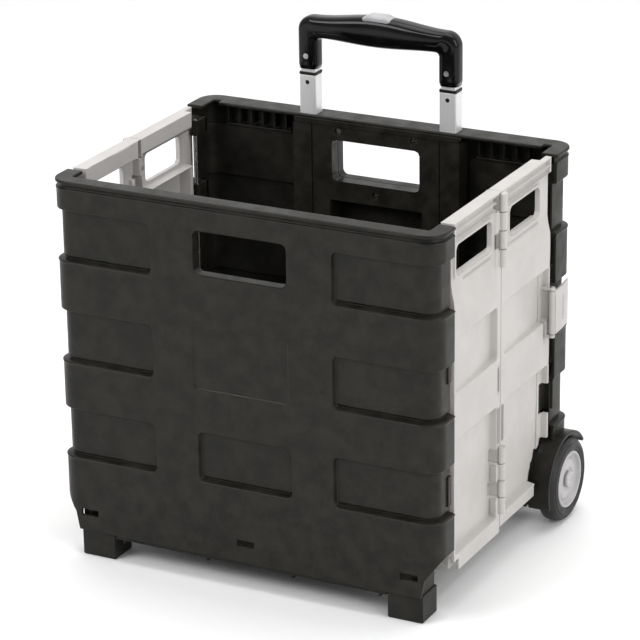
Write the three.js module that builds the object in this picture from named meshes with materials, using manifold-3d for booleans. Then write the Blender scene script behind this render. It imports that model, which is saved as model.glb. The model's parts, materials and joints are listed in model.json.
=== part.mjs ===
// Folding shopping trolley: a plastic crate that folds flat, with two wheels, two block feet
// and a telescopic handle. Millimetres, +Z up, front panel towards -Y, ground at z = 0.
import * as THREE from 'three';
import { mergeVertices } from 'three/addons/utils/BufferGeometryUtils.js';
import Module from 'manifold-3d';

const wasm = await Module();
wasm.setup();

// ---------------------------------------------------------------- driving dimensions
// While the pieces are made, y = 0 is the outer face of the front panel.
const gap = 0.3; // between pieces that touch
const crateWidth = 398; // over the outer walls
const crateDepth = 306; // over the outer walls
const crateTop = 379; // top of the rims
const panelBottom = 28; // lower edge of the front and rear panels
const wall = 3.6; // front and rear panels
const cornerRadius = 18;
const frontReturn = 35; // how far the front panel wraps round its corners
const rearReturn = 42;

const recessDepth = 4.6; // sunk fields of the panel relief
const recessSkin = 2; // plastic left behind a sunk field
const reliefColumn = 93.5; // the outer fields start this far from the middle
const reliefMiddle = 47.5; // half width of the middle fields and of the hand holes
const reliefRows = [[300.5, 350], [199.5, 250.5], [103, 152]];
const shallowField = { left: -51, right: 48, bottom: 195.5, top: 258, depth: 1.4 };

const rimThickness = 3.6;
const rimOverhang = 1;
const rimDepth = 16;
const rearRimDepth = 24;
const grooveDepth = 2; // under the rim
const grooveBottom = 371.5;

const handHoleHeight = 42;
const frontHandHoleLow = 308.5;
const rearHandHoleLow = 315;
const holeCorner = 5;
const collar = 2.4; // wall round a hand hole

const sideThickness = 14;
const sideOuter = crateWidth / 2 - 2.5; // outer plane of the side panels
const sideInner = sideOuter - sideThickness;
const sideRelief = 8; // depth of the sunk fields of the side panels
const sideSkin = 3; // plastic left between a field and the pocket behind it
const sidePockets = [[173, 214], [272, 322]]; // inside, by height
const sideGrooves = { bands: [[360.5, 364.5], [368.5, 373]], depth: 2 };
const sideHole = { v0: 20.5, v1: 87, z0: 328, z1: 357 };
const rearSkirtLift = 5; // the rear half's skirt ends higher
const sideBottom = 56.6; // top of the outward ledge
const skirtBottom = 39.6;
const ledgeBottom = 37.3; // inward ledge that closes the gap beside the floor

const pinRadius = 2;
const pinClearance = 0.3;
const knuckleRadius = 4.4;
const knuckleBlock = 4; // half width of the blocks and lugs that carry corner knuckles
const hingeX = sideInner + 2; // corner hinges, near the inner face of the sides
const frontHingeY = 32;
const rearHingeY = crateDepth - 54;
const middleY = (frontHingeY + rearHingeY) / 2;
const middleHingeX = sideOuter + 1;

const footInner = 145;
const footOuter = 181;
const footFront = 4.6;
const footBack = 36;

const wheelRadius = 42;
const wheelWidth = 22;
const wheelInnerX = 189;
const wheelY = crateDepth - 25;
const rimRadius = 28.6;
const axleRadius = 4;
const wellRadius = wheelRadius + 12;
const archRadius = wheelRadius + 15.5; // cut in the side panel round the wheel
const wellX = wheelInnerX - 2.5; // outer plane of the wheel well
const wellThickness = 4.5;
const mudguard = { inner: wheelRadius + 3.3, outer: wheelRadius + 6.5, outerX: 208, low: 64, front: 24 };
const axleBossRadius = 11;

const floorHalfWidth = 168;
const floorTop = 36.3;
const trayTop = panelBottom - 0.6; // the floor's middle lies under the panels' lower edges
const trayHalfWidth = footInner - 1;
const trayThickness = 5;
const flangeThickness = 2.5;
const floorFront = wall + 1.4;
const floorHingeY = crateDepth - 26;
const floorPinRadius = 2.2;

const tubeX = 75.5;
const tubeY = crateDepth - 13.4;
const outerTube = { width: 21, depth: 18.6, wall: 1.3 };
const midTube = {
  width: outerTube.width - 2 * (outerTube.wall + gap),
  depth: outerTube.depth - 2 * (outerTube.wall + gap),
  wall: 0.7,
};
const innerTube = {
  width: midTube.width - 2 * (midTube.wall + gap),
  depth: midTube.depth - 2 * (midTube.wall + gap),
  wall: 1,
};
const outerTubeEnds = [46, 368];
const midTubeBottom = 60;
const innerTubeBottom = 72;
const midTubeTop = 418;
const collarHeight = 2.9;
const gripBottom = 424.6;
const coverThickness = 2.4;
const coverHalfWidth = 90;
const coverFront = tubeY - outerTube.depth / 2 - gap - coverThickness;

const buttonLength = 36;
const buttonWidth = 16;
const buttonTop = 491;

const drainSlot = { low: 43.5, high: 50, middleHalf: 9, sideFrom: 160, sideTo: 178 };
const wellSides = 28; // facets of the large round cuts
const pinSides = 10;
const boreSides = 12;
const axleSides = 14;

// ---------------------------------------------------------------- materials
const finish = (color, roughness, metalness = 0) =>
  new THREE.MeshStandardMaterial({ color, roughness, metalness });
const blackPlastic = finish(0x2c2b27, 0.45);
const greyPlastic = finish(0xcfcac5, 0.5);
const aluminium = finish(0xdcdcdc, 0.35, 0.9);
const glossBlack = finish(0x0c0c0d, 0.15);
const buttonGrey = finish(0xa8a8aa, 0.4);
const tyreRubber = finish(0x1b1b1c, 0.8);
const wheelGrey = finish(0xaaa6a8, 0.35, 0.2);
const steel = finish(0x9a9a9c, 0.35, 1);

// ---------------------------------------------------------------- solids
function solid(geometry) {
  geometry.deleteAttribute('normal');
  geometry.deleteAttribute('uv');
  const merged = mergeVertices(geometry, 1e-4);
  return new wasm.Manifold(new wasm.Mesh({
    numProp: 3,
    vertProperties: new Float32Array(merged.attributes.position.array),
    triVerts: new Uint32Array(merged.index.array),
  }));
}

const join = (first, ...others) => others.reduce((body, other) => body.add(other), first);
const cut = (body, ...tools) => tools.reduce((rest, tool) => rest.subtract(tool), body);

function block(x0, x1, y0, y1, z0, z1) {
  const box = new THREE.BoxGeometry(Math.abs(x1 - x0), Math.abs(y1 - y0), Math.abs(z1 - z0));
  return solid(box.translate((x0 + x1) / 2, (y0 + y1) / 2, (z0 + z1) / 2));
}

function extrude(points, length) {
  const shape = new THREE.Shape(points.map(([u, v]) => new THREE.Vector2(u, v)));
  return new THREE.ExtrudeGeometry(shape, { depth: length, bevelEnabled: false });
}

// Prisms: along Z from points (x, y), along Y from points (x, z), along X from points (y, z).
const prismZ = (points, z0, z1) => solid(extrude(points, z1 - z0).translate(0, 0, z0));
const prismY = (points, y0, y1) =>
  solid(extrude(points, Math.abs(y1 - y0)).rotateX(Math.PI / 2).translate(0, Math.max(y0, y1), 0));
const prismX = (points, x0, x1) => {
  const turn = new THREE.Matrix4().makeBasis(
    new THREE.Vector3(0, 1, 0), new THREE.Vector3(0, 0, 1), new THREE.Vector3(1, 0, 0));
  return solid(extrude(points, x1 - x0).applyMatrix4(turn).translate(x0, 0, 0));
};

// Round bars along one axis; (a, b) is the centre in the other two axes, in x, y, z order.
function bar(axis, a, b, radius, from, to, sides = 8) {
  const middle = (from + to) / 2;
  const round = new THREE.CylinderGeometry(radius, radius, Math.abs(to - from), sides);
  if (axis === 'x') return solid(round.rotateZ(Math.PI / 2).translate(middle, a, b));
  if (axis === 'y') return solid(round.translate(a, middle, b));
  return solid(round.rotateX(Math.PI / 2).translate(a, b, middle));
}

function roundedRectangle(u0, u1, v0, v1, radius, steps = 2) {
  const corners = [[u1, v1, 0], [u0, v1, 1], [u0, v0, 2], [u1, v0, 3]];
  return corners.flatMap(([u, v, quarter]) => {
    const cu = u - Math.sign(u - (u0 + u1) / 2) * radius;
    const cv = v - Math.sign(v - (v0 + v1) / 2) * radius;
    return Array.from({ length: steps + 1 }, (_, i) => {
      const angle = (quarter + i / steps) * Math.PI / 2;
      return [cu + radius * Math.cos(angle), cv + radius * Math.sin(angle)];
    });
  });
}

// A ring turned about an axis along X through (y, z); profile points are (radius, x).
function turned(profile, y, z, segments = 24) {
  const points = [...profile, profile[0]].map(([r, x]) => new THREE.Vector2(r, x));
  const lathe = new THREE.LatheGeometry(points, segments);
  return solid(lathe.rotateZ(-Math.PI / 2).translate(0, y, z));
}

// ---------------------------------------------------------------- the assembly
const trolley = new THREE.Group();

function geometryOf(shape) {
  const { vertProperties, triVerts } = shape.getMesh();
  const geometry = new THREE.BufferGeometry();
  geometry.setAttribute('position', new THREE.BufferAttribute(new Float32Array(vertProperties), 3));
  geometry.setIndex(new THREE.BufferAttribute(new Uint32Array(triVerts), 1));
  return geometry;
}

function mirroredInX(geometry) {
  const copy = geometry.clone();
  const position = copy.attributes.position;
  for (let i = 0; i < position.count; i++) position.setX(i, -position.getX(i));
  const index = copy.index.array;
  for (let i = 0; i < index.length; i += 3) [index[i], index[i + 1]] = [index[i + 1], index[i]];
  return copy;
}

function addMesh(name, geometry, material) {
  geometry.computeVertexNormals();
  const mesh = new THREE.Mesh(geometry, material);
  mesh.name = name;
  trolley.add(mesh);
}

const piece = (name, shape, material) => addMesh(name, geometryOf(shape), material);

// A piece drawn on the right and repeated, mirrored, on the left.
function pair(name, shape, material) {
  const geometry = geometryOf(shape);
  addMesh(`${name}_right`, geometry, material);
  addMesh(`${name}_left`, mirroredInX(geometry), material);
}

// ---------------------------------------------------------------- front and rear panels
// Outline of a panel in plan, from the end of one return round to the other, set in by inset.
// at() turns a depth behind the panel's outer face into y.
function panelOutline(inset, returnLength, at) {
  const x = crateWidth / 2 - inset;
  const r = cornerRadius - inset;
  const steps = 4;
  const arc = (centre, start) => Array.from({ length: steps + 1 }, (_, i) => {
    const angle = start + i / steps * Math.PI / 2;
    return [centre + r * Math.cos(angle), at(inset + r + r * Math.sin(angle))];
  });
  return [
    [-x, at(returnLength)], ...arc(r - x, Math.PI), ...arc(x - r, 1.5 * Math.PI), [x, at(returnLength)],
  ];
}

function panelBand(outer, inner, returnLength, at, z0, z1) {
  const outside = panelOutline(outer, returnLength, at);
  const inside = panelOutline(inner, returnLength, at).reverse();
  return prismZ([...outside, ...inside], z0, z1);
}

// The sunk fields, and the thicker plastic behind them.
function reliefTools(returnLength, at, z0, z1) {
  const middle = reliefColumn;
  const strip = (half) => block(-half, half, at(-20), at(80), z0 - 20, z1 + 20);
  const field = panelBand(-rimOverhang - 5, recessDepth, returnLength + 5, at, z0, z1);
  const backing = panelBand(wall - 0.5, recessDepth + recessSkin, returnLength, at,
    z0 - recessSkin, z1 + recessSkin);
  return { field: cut(field, strip(middle)), backing: cut(backing, strip(middle - recessSkin)) };
}

function handHole(low, at, near, far, margin = 0) {
  const outline = roundedRectangle(-reliefMiddle - margin, reliefMiddle + margin,
    low - margin, low + handHoleHeight + margin, holeCorner + margin);
  return prismY(outline, at(near), at(far));
}

function reliefPanel(returnLength, at, holeLow) {
  const depthOfCollar = wall + 8;
  let panel = panelBand(0, wall, returnLength, at, panelBottom, crateTop - 1);
  const relief = reliefRows.map(([z0, z1]) => reliefTools(returnLength, at, z0, z1));
  const [, , [lowFieldBottom, lowFieldTop]] = reliefRows;
  panel = join(panel,
    ...relief.map(({ backing }) => backing),
    block(-reliefMiddle - recessSkin, reliefMiddle + recessSkin, at(wall - 0.5),
      at(recessDepth + recessSkin), lowFieldBottom - recessSkin, lowFieldTop + recessSkin),
    panelBand(-rimOverhang, rimDepth, returnLength, at, crateTop - rimThickness, crateTop),
    handHole(holeLow, at, wall - 0.5, depthOfCollar, collar));
  return cut(panel,
    ...relief.map(({ field }) => field),
    panelBand(-rimOverhang, grooveDepth, returnLength + 1, at, grooveBottom, crateTop - rimThickness),
    block(-reliefMiddle, reliefMiddle, at(-10), at(recessDepth), lowFieldBottom, lowFieldTop),
    block(shallowField.left, shallowField.right, at(-10), at(shallowField.depth),
      shallowField.bottom, shallowField.top),
    handHole(holeLow, at, -10, depthOfCollar + 10));
}

// Hinge lugs of the front panel and arms of the rear panel, by height.
const frontLugs = [[110.6, 140], [230.6, 260], [350.6, 368]];
const frontArms = [[80, 110], [200, 230], [320, 350]];
const rearArms = [[120, 150], [272, 302], [352, 368]];

function makeFrontPanel() {
  const at = (depth) => depth;
  let panel = reliefPanel(frontReturn, at, frontHandHoleLow);
  for (const side of [-1, 1]) {
    for (const [z0, z1] of frontLugs) {
      panel = join(panel,
        block(side * hingeX, side * (crateWidth / 2 - 2),
          frontHingeY - knuckleBlock, frontHingeY + knuckleBlock, z0, z1),
        bar('z', side * hingeX, frontHingeY, knuckleRadius, z0, z1));
    }
    panel = cut(panel,
      bar('z', side * hingeX, frontHingeY, pinRadius + pinClearance, panelBottom + 20, crateTop - 8),
      // the lower corner is cut away at a slant, down to the foot
      prismY([[side * (footOuter + 0.4), 10], [side * (footOuter + 0.4), 41],
        [side * (crateWidth / 2 + 6), 74], [side * (crateWidth / 2 + 6), 10]], -20, frontReturn + 20),
      // room for the floor's flange over the foot, and for the floor's step beside it
      block(side * (footInner - 4.5), side * (floorHalfWidth + 0.8), -9, 9,
        floorTop - flangeThickness - 0.5, floorTop + 0.6),
      block(side * (footInner - 4.5), side * (footInner - 0.4), -9, 9, 10, floorTop + 0.6),
      // drain slots and the notch in the rim
      block(side * drainSlot.sideFrom, side * drainSlot.sideTo, -9, 9, drainSlot.low, drainSlot.high),
      block(side * 186, side * 191, 29, 35, crateTop - 9, crateTop + 9));
  }
  return cut(panel, block(-drainSlot.middleHalf, drainSlot.middleHalf, -9, 9, drainSlot.low, drainSlot.high));
}

// A block foot, with a post up the inside of the panel's corner beyond the floor's edge.
function makeFoot() {
  const insideCorner = prismZ(panelOutline(wall + gap, frontReturn, (depth) => depth), panelBottom - 1, 50);
  const post = block(floorHalfWidth + 1.5, footOuter, footFront, footBack, panelBottom - 1, 50);
  return join(block(footInner, footOuter, footFront, footBack, 0, panelBottom - gap),
    post.intersect(insideCorner));
}

const screwPlaces = [[-41, 366], [41, 366], [0, 305], [-58.7, 64], [58.7, 64]];
const screwHead = { radius: 3.5, height: 2.5 };
const screwShank = 1.7;
const shelfY = coverFront + 5.4; // the shelf in the cover that a screw pulls on

function makeRearPanel() {
  const at = (depth) => crateDepth - depth;
  const inside = at(wall);
  let panel = join(reliefPanel(rearReturn, at, rearHandHoleLow),
    block(-rearRimSide, rearRimSide, at(rimDepth - 1), at(rearRimDepth), crateTop - rimThickness, crateTop));
  for (const side of [-1, 1]) {
    // wheel clearance first, then the well, the mudguard and the axle boss
    panel = cut(panel,
      bar('x', wheelY, wheelRadius, wheelRadius + 4, side * (wellX + 0.8), side * 240, wellSides),
      block(side * (wellX + 0.8), side * 240, wheelY - wheelRadius - 20, crateDepth + 20, 0, wheelRadius));
    const disc = bar('x', wheelY, wheelRadius, wellRadius,
      side * (wellX - wellThickness), side * wellX, wellSides);
    const kept = block(side * 100, side * 300, wheelY - 100, crateDepth - 0.5, panelBottom, 200);
    const guard = cut(
      bar('x', wheelY, wheelRadius, mudguard.outer, side * (wellX - 1), side * mudguard.outerX, wellSides),
      bar('x', wheelY, wheelRadius, mudguard.inner, side * 150, side * 240, wellSides),
      block(side * 150, side * 240, wheelY - 100, wheelY + 100, -60, mudguard.low),
      block(side * 150, side * 240, wheelY - 100, wheelY - mudguard.front, -60, 200));
    panel = join(panel, disc.intersect(kept), guard,
      bar('x', wheelY, wheelRadius, axleBossRadius, side * (footOuter - 10), side * (wellX - 0.5)),
      block(side * (footOuter - 10), side * (wellX - 0.5), wheelY, inside + 1,
        wheelRadius - axleBossRadius + 1, wheelRadius + axleBossRadius - 1));
    for (const [z0, z1] of rearArms) {
      panel = join(panel,
        block(side * (hingeX - knuckleBlock), side * (hingeX + knuckleBlock),
          rearHingeY, at(rearReturn) + 5, z0, z1),
        block(side * (hingeX - knuckleBlock), side * (crateWidth / 2 - 2),
          at(rearReturn) + 1, at(rearReturn) + 5, z0, z1),
        bar('z', side * hingeX, rearHingeY, knuckleRadius, z0, z1));
    }
    panel = cut(panel,
      bar('x', wheelY, wheelRadius, axleRadius + 0.3, side * (footOuter - 20), side * (wellX + 5), 14),
      bar('z', side * hingeX, rearHingeY, pinRadius + pinClearance, 90, crateTop - 8),
      block(side * (tubeX - midTube.width / 2 - 0.5), side * (tubeX + midTube.width / 2 + 0.5),
        tubeY - midTube.depth / 2 - 0.5, tubeY + midTube.depth / 2 + 0.5, crateTop - 9, crateTop + 9));
  }
  for (const [x0, x1] of floorLugs) {
    panel = join(panel,
      block(x0, x1, floorHingeY, inside + 1, floorTop - 5, floorTop + 4),
      bar('x', floorHingeY, floorTop, 4, x0, x1));
  }
  panel = cut(panel, bar('x', floorHingeY, floorTop, floorPinRadius + pinClearance, -160, 160));
  for (const [x, z] of screwPlaces) {
    panel = cut(join(panel, bar('y', x, z, 4.5, shelfY + 2.7, inside + 1, 12)),
      bar('y', x, z, screwShank + 0.3, shelfY, inside + 1, 10));
  }
  return panel;
}

// ---------------------------------------------------------------- side panels
const topKnuckles = [[307, 324.2], [324.8, 342], [342.6, 360], [360.6, 378]];
const lowKnuckles = [[60, 76.6], [77.2, 93.8], [94.4, 111], [111.6, 128]];
const middlePins = [[308, 377], [61, 127]];

// One right-hand half. toward is -1 for the front half and +1 for the rear half; v is the
// distance from the middle hinge.
function makeSideHalf(toward, endV) {
  const y = (v) => middleY + toward * v;
  const slab = (x0, x1, v0, v1, z0, z1) => block(x0, x1, y(v0), y(v1), z0, z1);
  const own = (bands) => bands.filter((_, i) => (i % 2 === 0) === (toward < 0));
  const others = (bands) => bands.filter((_, i) => (i % 2 === 0) !== (toward < 0));
  const start = 0.5;
  const skirtLift = toward > 0 ? rearSkirtLift : 0;
  const field = sideOuter - sideRelief;

  let half = join(
    slab(sideInner, sideOuter, start, endV, sideBottom - 3, crateTop),
    slab(sideOuter - sideSkin, sideOuter, 9, endV, skirtBottom + skirtLift, sideBottom),
    slab(sideInner, sideInner + sideSkin, start, endV, ledgeBottom, sideBottom),
    slab(sideInner - 8.5, sideInner + 1, start + 1, endV, ledgeBottom, ledgeBottom + 3));

  // sunk fields outside, matching pockets inside behind the raised ones
  half = cut(half,
    slab(field, sideOuter + 5, 8, endV - 3, 217, 269),
    slab(field, sideOuter + 5, 9, endV - 3, sideBottom, 170),
    slab(field, sideOuter + 5, 2.5, 6.5, 132, 170),
    ...sidePockets.map(([z0, z1]) => slab(sideInner - 5, sideOuter - sideSkin, 9, endV - 22, z0, z1)),
    ...sideGrooves.bands.map(([z0, z1]) =>
      slab(sideOuter - sideGrooves.depth, sideOuter + 5, 8, endV - 4, z0, z1)),
    prismX(roundedRectangle(Math.min(y(sideHole.v0), y(sideHole.v1)),
      Math.max(y(sideHole.v0), y(sideHole.v1)), sideHole.z0, sideHole.z1, holeCorner),
    sideInner - 5, sideOuter + 5),
    slab(sideInner + sideSkin + 1, sideOuter - sideSkin - 1, 42, 58, 20, sideBottom + 5));

  // middle hinge: this half's knuckles, and room for the other half's
  for (const [z0, z1] of [...own(topKnuckles), ...own(lowKnuckles)]) {
    half = join(half, bar('z', middleHingeX, middleY, knuckleRadius, z0, z1));
    half = join(half, slab(sideOuter - 6, sideOuter, 0, 9.5, z0, z1));
  }
  for (const [z0, z1] of [...others(topKnuckles), ...others(lowKnuckles)]) {
    half = cut(half, bar('z', middleHingeX, middleY, knuckleRadius + 0.6, z0 - 0.6, z1 + 0.6));
  }
  half = cut(half, bar('z', middleHingeX, middleY, pinRadius + pinClearance, 20, crateTop + 5, boreSides));
  return half;
}

const frontEndV = middleY - frontHingeY - 7.5;
const rearEndV = rearHingeY + 4.5 - middleY;
const latch = {
  x: sideOuter + 4.3, y: rearHingeY, z0: 196, z1: 247, thickness: 3, reach: 39, radius: 4, bow: 3.6,
  bearing: 6, slack: 0.4, bore: 1.8,
};

function makeFrontHalf() {
  let half = makeSideHalf(-1, frontEndV);
  // clear of the foot when the crate is folded
  half = cut(half, block(sideInner - 20, sideOuter + 9, 0, footBack + 14, 0, 51));
  for (const [z0, z1] of frontArms) {
    half = join(half,
      block(hingeX - knuckleBlock, hingeX + knuckleBlock, frontHingeY, frontHingeY + 10, z0, z1),
      bar('z', hingeX, frontHingeY, knuckleRadius, z0, z1));
  }
  return cut(half, bar('z', hingeX, frontHingeY, pinRadius + pinClearance, 60, crateTop + 5));
}

function makeRearHalf() {
  let half = makeSideHalf(1, rearEndV);
  const rearY = middleY + rearEndV;
  half = cut(half,
    bar('x', wheelY, wheelRadius, archRadius, sideInner - 20, sideOuter + 9, wellSides),
    block(sideInner - 20, sideOuter + 9, wheelY - archRadius + 6, rearY + 9, 0, wheelRadius),
    block(sideOuter - sideRelief - 1, sideOuter + 9, rearHingeY - 10.5, rearHingeY - 5, 200, 242));
  for (const [z0, z1] of rearArms) {
    half = cut(half, block(sideInner - 9, hingeX + 5.5, rearHingeY - 5.6, rearY + 9, z0 - 0.5, z1 + 0.5));
  }
  half = cut(half, bar('z', hingeX, rearHingeY, pinRadius + pinClearance, 60, crateTop - 8));
  for (const [z0, z1] of [[latch.z0 - latch.bearing, latch.z0 - latch.slack],
    [latch.z1 + latch.slack, latch.z1 + latch.bearing]]) {
    half = join(half,
      block(sideOuter - 7, latch.x, latch.y - 3.5, latch.y + 4, z0, z1),
      bar('z', latch.x, latch.y, latch.radius, z0, z1));
  }
  return cut(half, bar('z', latch.x, latch.y, latch.bore, latch.z0 - 20, latch.z1 + 20, boreSides));
}

// The latch: a barrel, and a bowed plate that reaches back over the rear panel's return.
function makeLatch() {
  const steps = 8;
  const bow = (t) => latch.x + latch.radius - latch.bow * t * t * t;
  const outer = Array.from({ length: steps + 1 }, (_, i) => {
    const t = i / steps;
    return [bow(t), latch.y + latch.reach * t];
  });
  const inner = outer.map(([x, y]) => [Math.max(x - latch.thickness, crateWidth / 2 + 0.4), y - 0.01]);
  const plate = prismZ([...outer, ...inner.reverse()], latch.z0, latch.z1);
  const barrel = bar('z', latch.x, latch.y, latch.radius, latch.z0, latch.z1);
  return cut(join(plate, barrel),
    bar('z', latch.x, latch.y, latch.bore, latch.z0 - 5, latch.z1 + 5, boreSides),
    block(latch.x + latch.radius - 2.2, latch.x + 9, latch.y + 17, latch.y + 20.5,
      latch.z0 + 11, latch.z1 - 11));
}

// ---------------------------------------------------------------- floor
const rearRimSide = crateWidth / 2 - rimDepth;
const floorLugs = [[-156, -148], [-112, -104], [-4, 4], [104, 112], [148, 156]];
const floorKnuckles = [[-147, -113], [-60, -30], [30, 60], [113, 147]];

function makeFloor() {
  const trayBack = floorHingeY - 18;
  const flangeBack = floorHingeY - 6;
  const web = 2.5;
  let tray = join(
    block(-trayHalfWidth, trayHalfWidth, floorFront, trayBack, trayTop - trayThickness, trayTop),
    block(-trayHalfWidth, trayHalfWidth, trayBack - web, trayBack, trayTop - trayThickness, floorTop),
    block(-floorHalfWidth, floorHalfWidth, trayBack - web, flangeBack, floorTop - flangeThickness, floorTop));
  for (const side of [-1, 1]) {
    tray = join(tray,
      block(side * (trayHalfWidth - web), side * trayHalfWidth, floorFront, trayBack,
        trayTop - trayThickness, floorTop),
      block(side * (trayHalfWidth - web), side * floorHalfWidth, floorFront, flangeBack,
        floorTop - flangeThickness, floorTop));
  }
  const ribHeight = 4;
  const ribCount = 4;
  for (let i = 0; i < ribCount; i++) {
    const x = (i / (ribCount - 1) - 0.5) * 2 * (trayHalfWidth - 8);
    const y = floorFront + 12 + i / (ribCount - 1) * (trayBack - floorFront - 26);
    tray = join(tray,
      block(x - 1, x + 1, floorFront + 2, trayBack - 4, trayTop - trayThickness - ribHeight, trayTop - 1),
      block(4 - trayHalfWidth, trayHalfWidth - 4, y - 1, y + 1,
        trayTop - trayThickness - ribHeight, trayTop - 1));
  }
  for (const [x0, x1] of floorKnuckles) {
    tray = join(tray,
      block(x0, x1, flangeBack - 2, floorHingeY, floorTop - 3.5, floorTop + 1.5),
      bar('x', floorHingeY, floorTop, 4, x0, x1));
  }
  return cut(tray, bar('x', floorHingeY, floorTop, floorPinRadius + pinClearance, -170, 170));
}

// ---------------------------------------------------------------- tube cover
function makeTubeCover() {
  const back = coverFront + coverThickness;
  const wallEnd = crateDepth - wall - 0.5;
  const top = crateTop - 9;
  const legInner = 50;
  const legBottom = 46;
  const barBottom = 295;
  const seam = 68.4;
  const outline = [[-coverHalfWidth, legBottom], [-legInner, legBottom], [-legInner, barBottom],
    [legInner, barBottom], [legInner, legBottom], [coverHalfWidth, legBottom],
    [coverHalfWidth, top], [-coverHalfWidth, top]];
  const at = (depth) => depth;
  let cover = prismY(outline, coverFront, back);
  for (const side of [-1, 1]) {
    cover = join(cover,
      block(side * (coverHalfWidth - coverThickness), side * coverHalfWidth,
        back - 1, wallEnd, legBottom, top),
      block(side * legInner, side * (legInner + coverThickness), back - 1, wallEnd, legBottom, barBottom));
    cover = cut(cover, block(side * seam, side * (seam + 1.5),
      coverFront - 1, coverFront + 1, legBottom - 1, top + 1));
  }
  cover = join(cover, handHole(rearHandHoleLow, at, back - 1, wallEnd - 8, collar));
  for (const [x, z] of screwPlaces) {
    cover = join(cover, bar('y', x, z, 5.2, back - 1, shelfY + 2.4, 12));
  }
  cover = cut(cover, handHole(rearHandHoleLow, at, coverFront - 5, wallEnd + 5));
  for (const [x, z] of screwPlaces) {
    cover = cut(cover,
      bar('y', x, z, screwHead.radius + 0.4, coverFront - 5, shelfY, 12),
      bar('y', x, z, screwShank + 0.4, coverFront - 5, shelfY + 5, 10));
  }
  return cover;
}

// ---------------------------------------------------------------- handle
function rectangularTube({ width, depth, wall: tubeWall }, z0, z1) {
  const outline = (inset) => roundedRectangle(
    tubeX - width / 2 + inset, tubeX + width / 2 - inset,
    tubeY - depth / 2 + inset, tubeY + depth / 2 - inset, 2 - inset / 2, 2);
  return cut(prismZ(outline(0), z0, z1), prismZ(outline(tubeWall), z0 - 1, z1 + 1));
}

const tubeBlock = (width, depth, z0, z1) => prismZ(roundedRectangle(
  tubeX - width / 2, tubeX + width / 2, tubeY - depth / 2, tubeY + depth / 2, 1.5, 2), z0, z1);

// The grip is swept along an arch: two legs, two bends and a bar that swells in the middle.
function makeGrip() {
  const bend = 16;
  const legHalf = { across: 10.25, deep: 9 };
  const barHalf = { across: 12.6, deep: 10.6 };
  const swell = { across: 2.6, deep: 2.4, rise: 4 };
  const bendZ = 452.5;
  const bendX = tubeX - bend;
  const stations = [];
  const add = (x, z, angle, across, deep) => stations.push({ x, z, angle, across, deep });
  add(tubeX, gripBottom, 0, legHalf.across, legHalf.deep);
  const bendSteps = 4;
  for (let i = 0; i <= bendSteps; i++) {
    const t = i / bendSteps;
    const angle = t * Math.PI / 2;
    add(bendX + bend * Math.cos(angle), bendZ + bend * Math.sin(angle), angle,
      legHalf.across + (barHalf.across - legHalf.across) * t,
      legHalf.deep + (barHalf.deep - legHalf.deep) * t);
  }
  const barSteps = 6;
  for (let i = 1; i < barSteps; i++) {
    const t = i / barSteps;
    const hump = Math.sin(Math.PI * t) ** 2;
    const slope = Math.PI * Math.sin(2 * Math.PI * t) * swell.rise / (-2 * bendX);
    add(bendX * (1 - 2 * t), bendZ + bend + swell.rise * hump, Math.PI / 2 - Math.atan(-slope),
      barHalf.across + swell.across * hump, barHalf.deep + swell.deep * hump);
  }
  for (let i = bendSteps; i >= 0; i--) {
    const { x, z, angle, across, deep } = stations[1 + i];
    add(-x, z, Math.PI - angle, across, deep);
  }
  add(-tubeX, gripBottom, Math.PI, legHalf.across, legHalf.deep);

  const around = 12;
  const power = 0.62; // rounder than a box, squarer than an oval
  const round = (value) => Math.sign(value) * Math.abs(value) ** power;
  const vertices = [];
  for (const { x, z, angle, across, deep } of stations) {
    for (let i = 0; i < around; i++) {
      const turn = (i + 0.5) / around * 2 * Math.PI;
      const a = across * round(Math.cos(turn));
      const d = deep * round(Math.sin(turn));
      vertices.push(x + a * Math.cos(angle), tubeY + d, z + a * Math.sin(angle));
    }
  }
  const faces = [];
  const last = (stations.length - 1) * around;
  for (let s = 0; s < stations.length - 1; s++) {
    for (let i = 0; i < around; i++) {
      const [a, b] = [s * around + i, s * around + (i + 1) % around];
      faces.push(a, b, a + around, b, b + around, a + around);
    }
  }
  for (let i = 1; i < around - 1; i++) {
    faces.push(0, i + 1, i, last, last + i, last + i + 1);
  }
  const geometry = new THREE.BufferGeometry();
  geometry.setAttribute('position', new THREE.BufferAttribute(new Float32Array(vertices), 3));
  geometry.setIndex(faces);
  let grip = solid(geometry);

  const pocketFloor = buttonTop - 14;
  grip = cut(grip,
    block(-buttonLength / 2 - 0.4, buttonLength / 2 + 0.4, tubeY - buttonWidth / 2 - 0.4,
      tubeY + buttonWidth / 2 + 0.4, pocketFloor, buttonTop + 20),
    bar('z', 0, tubeY, springRadius + 1.2, springBottom - 0.3, buttonTop, 14));
  for (const side of [-1, 1]) {
    grip = cut(grip,
      block(side * (tubeX - innerTube.width / 2 - gap), side * (tubeX + innerTube.width / 2 + gap),
        tubeY - innerTube.depth / 2 - gap, tubeY + innerTube.depth / 2 + gap,
        gripBottom - 5, innerTubeTop + 1),
      bar('y', side * tubeX, gripScrewZ, screwShank + 0.3, tubeY - 20, tubeY, 10));
  }
  return grip;
}

const springRadius = 3.6;
const springBottom = 466.3;
const buttonBottom = buttonTop - 10;
const innerTubeTop = 444;
const gripScrewZ = 438;

function makeButtonSpring() {
  const wire = 0.5;
  const turns = 3;
  class Coil extends THREE.Curve {
    getPoint(t, target = new THREE.Vector3()) {
      const angle = t * turns * 2 * Math.PI;
      const rise = springBottom + wire + t * (buttonBottom - springBottom - 2 * wire - gap);
      return target.set(springRadius * Math.cos(angle), tubeY + springRadius * Math.sin(angle), rise);
    }
  }
  const section = new THREE.Shape(Array.from({ length: 4 }, (_, i) =>
    new THREE.Vector2(wire * Math.cos(i / 2 * Math.PI), wire * Math.sin(i / 2 * Math.PI))));
  return solid(new THREE.ExtrudeGeometry(section, { steps: turns * 8, extrudePath: new Coil() }));
}

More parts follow.
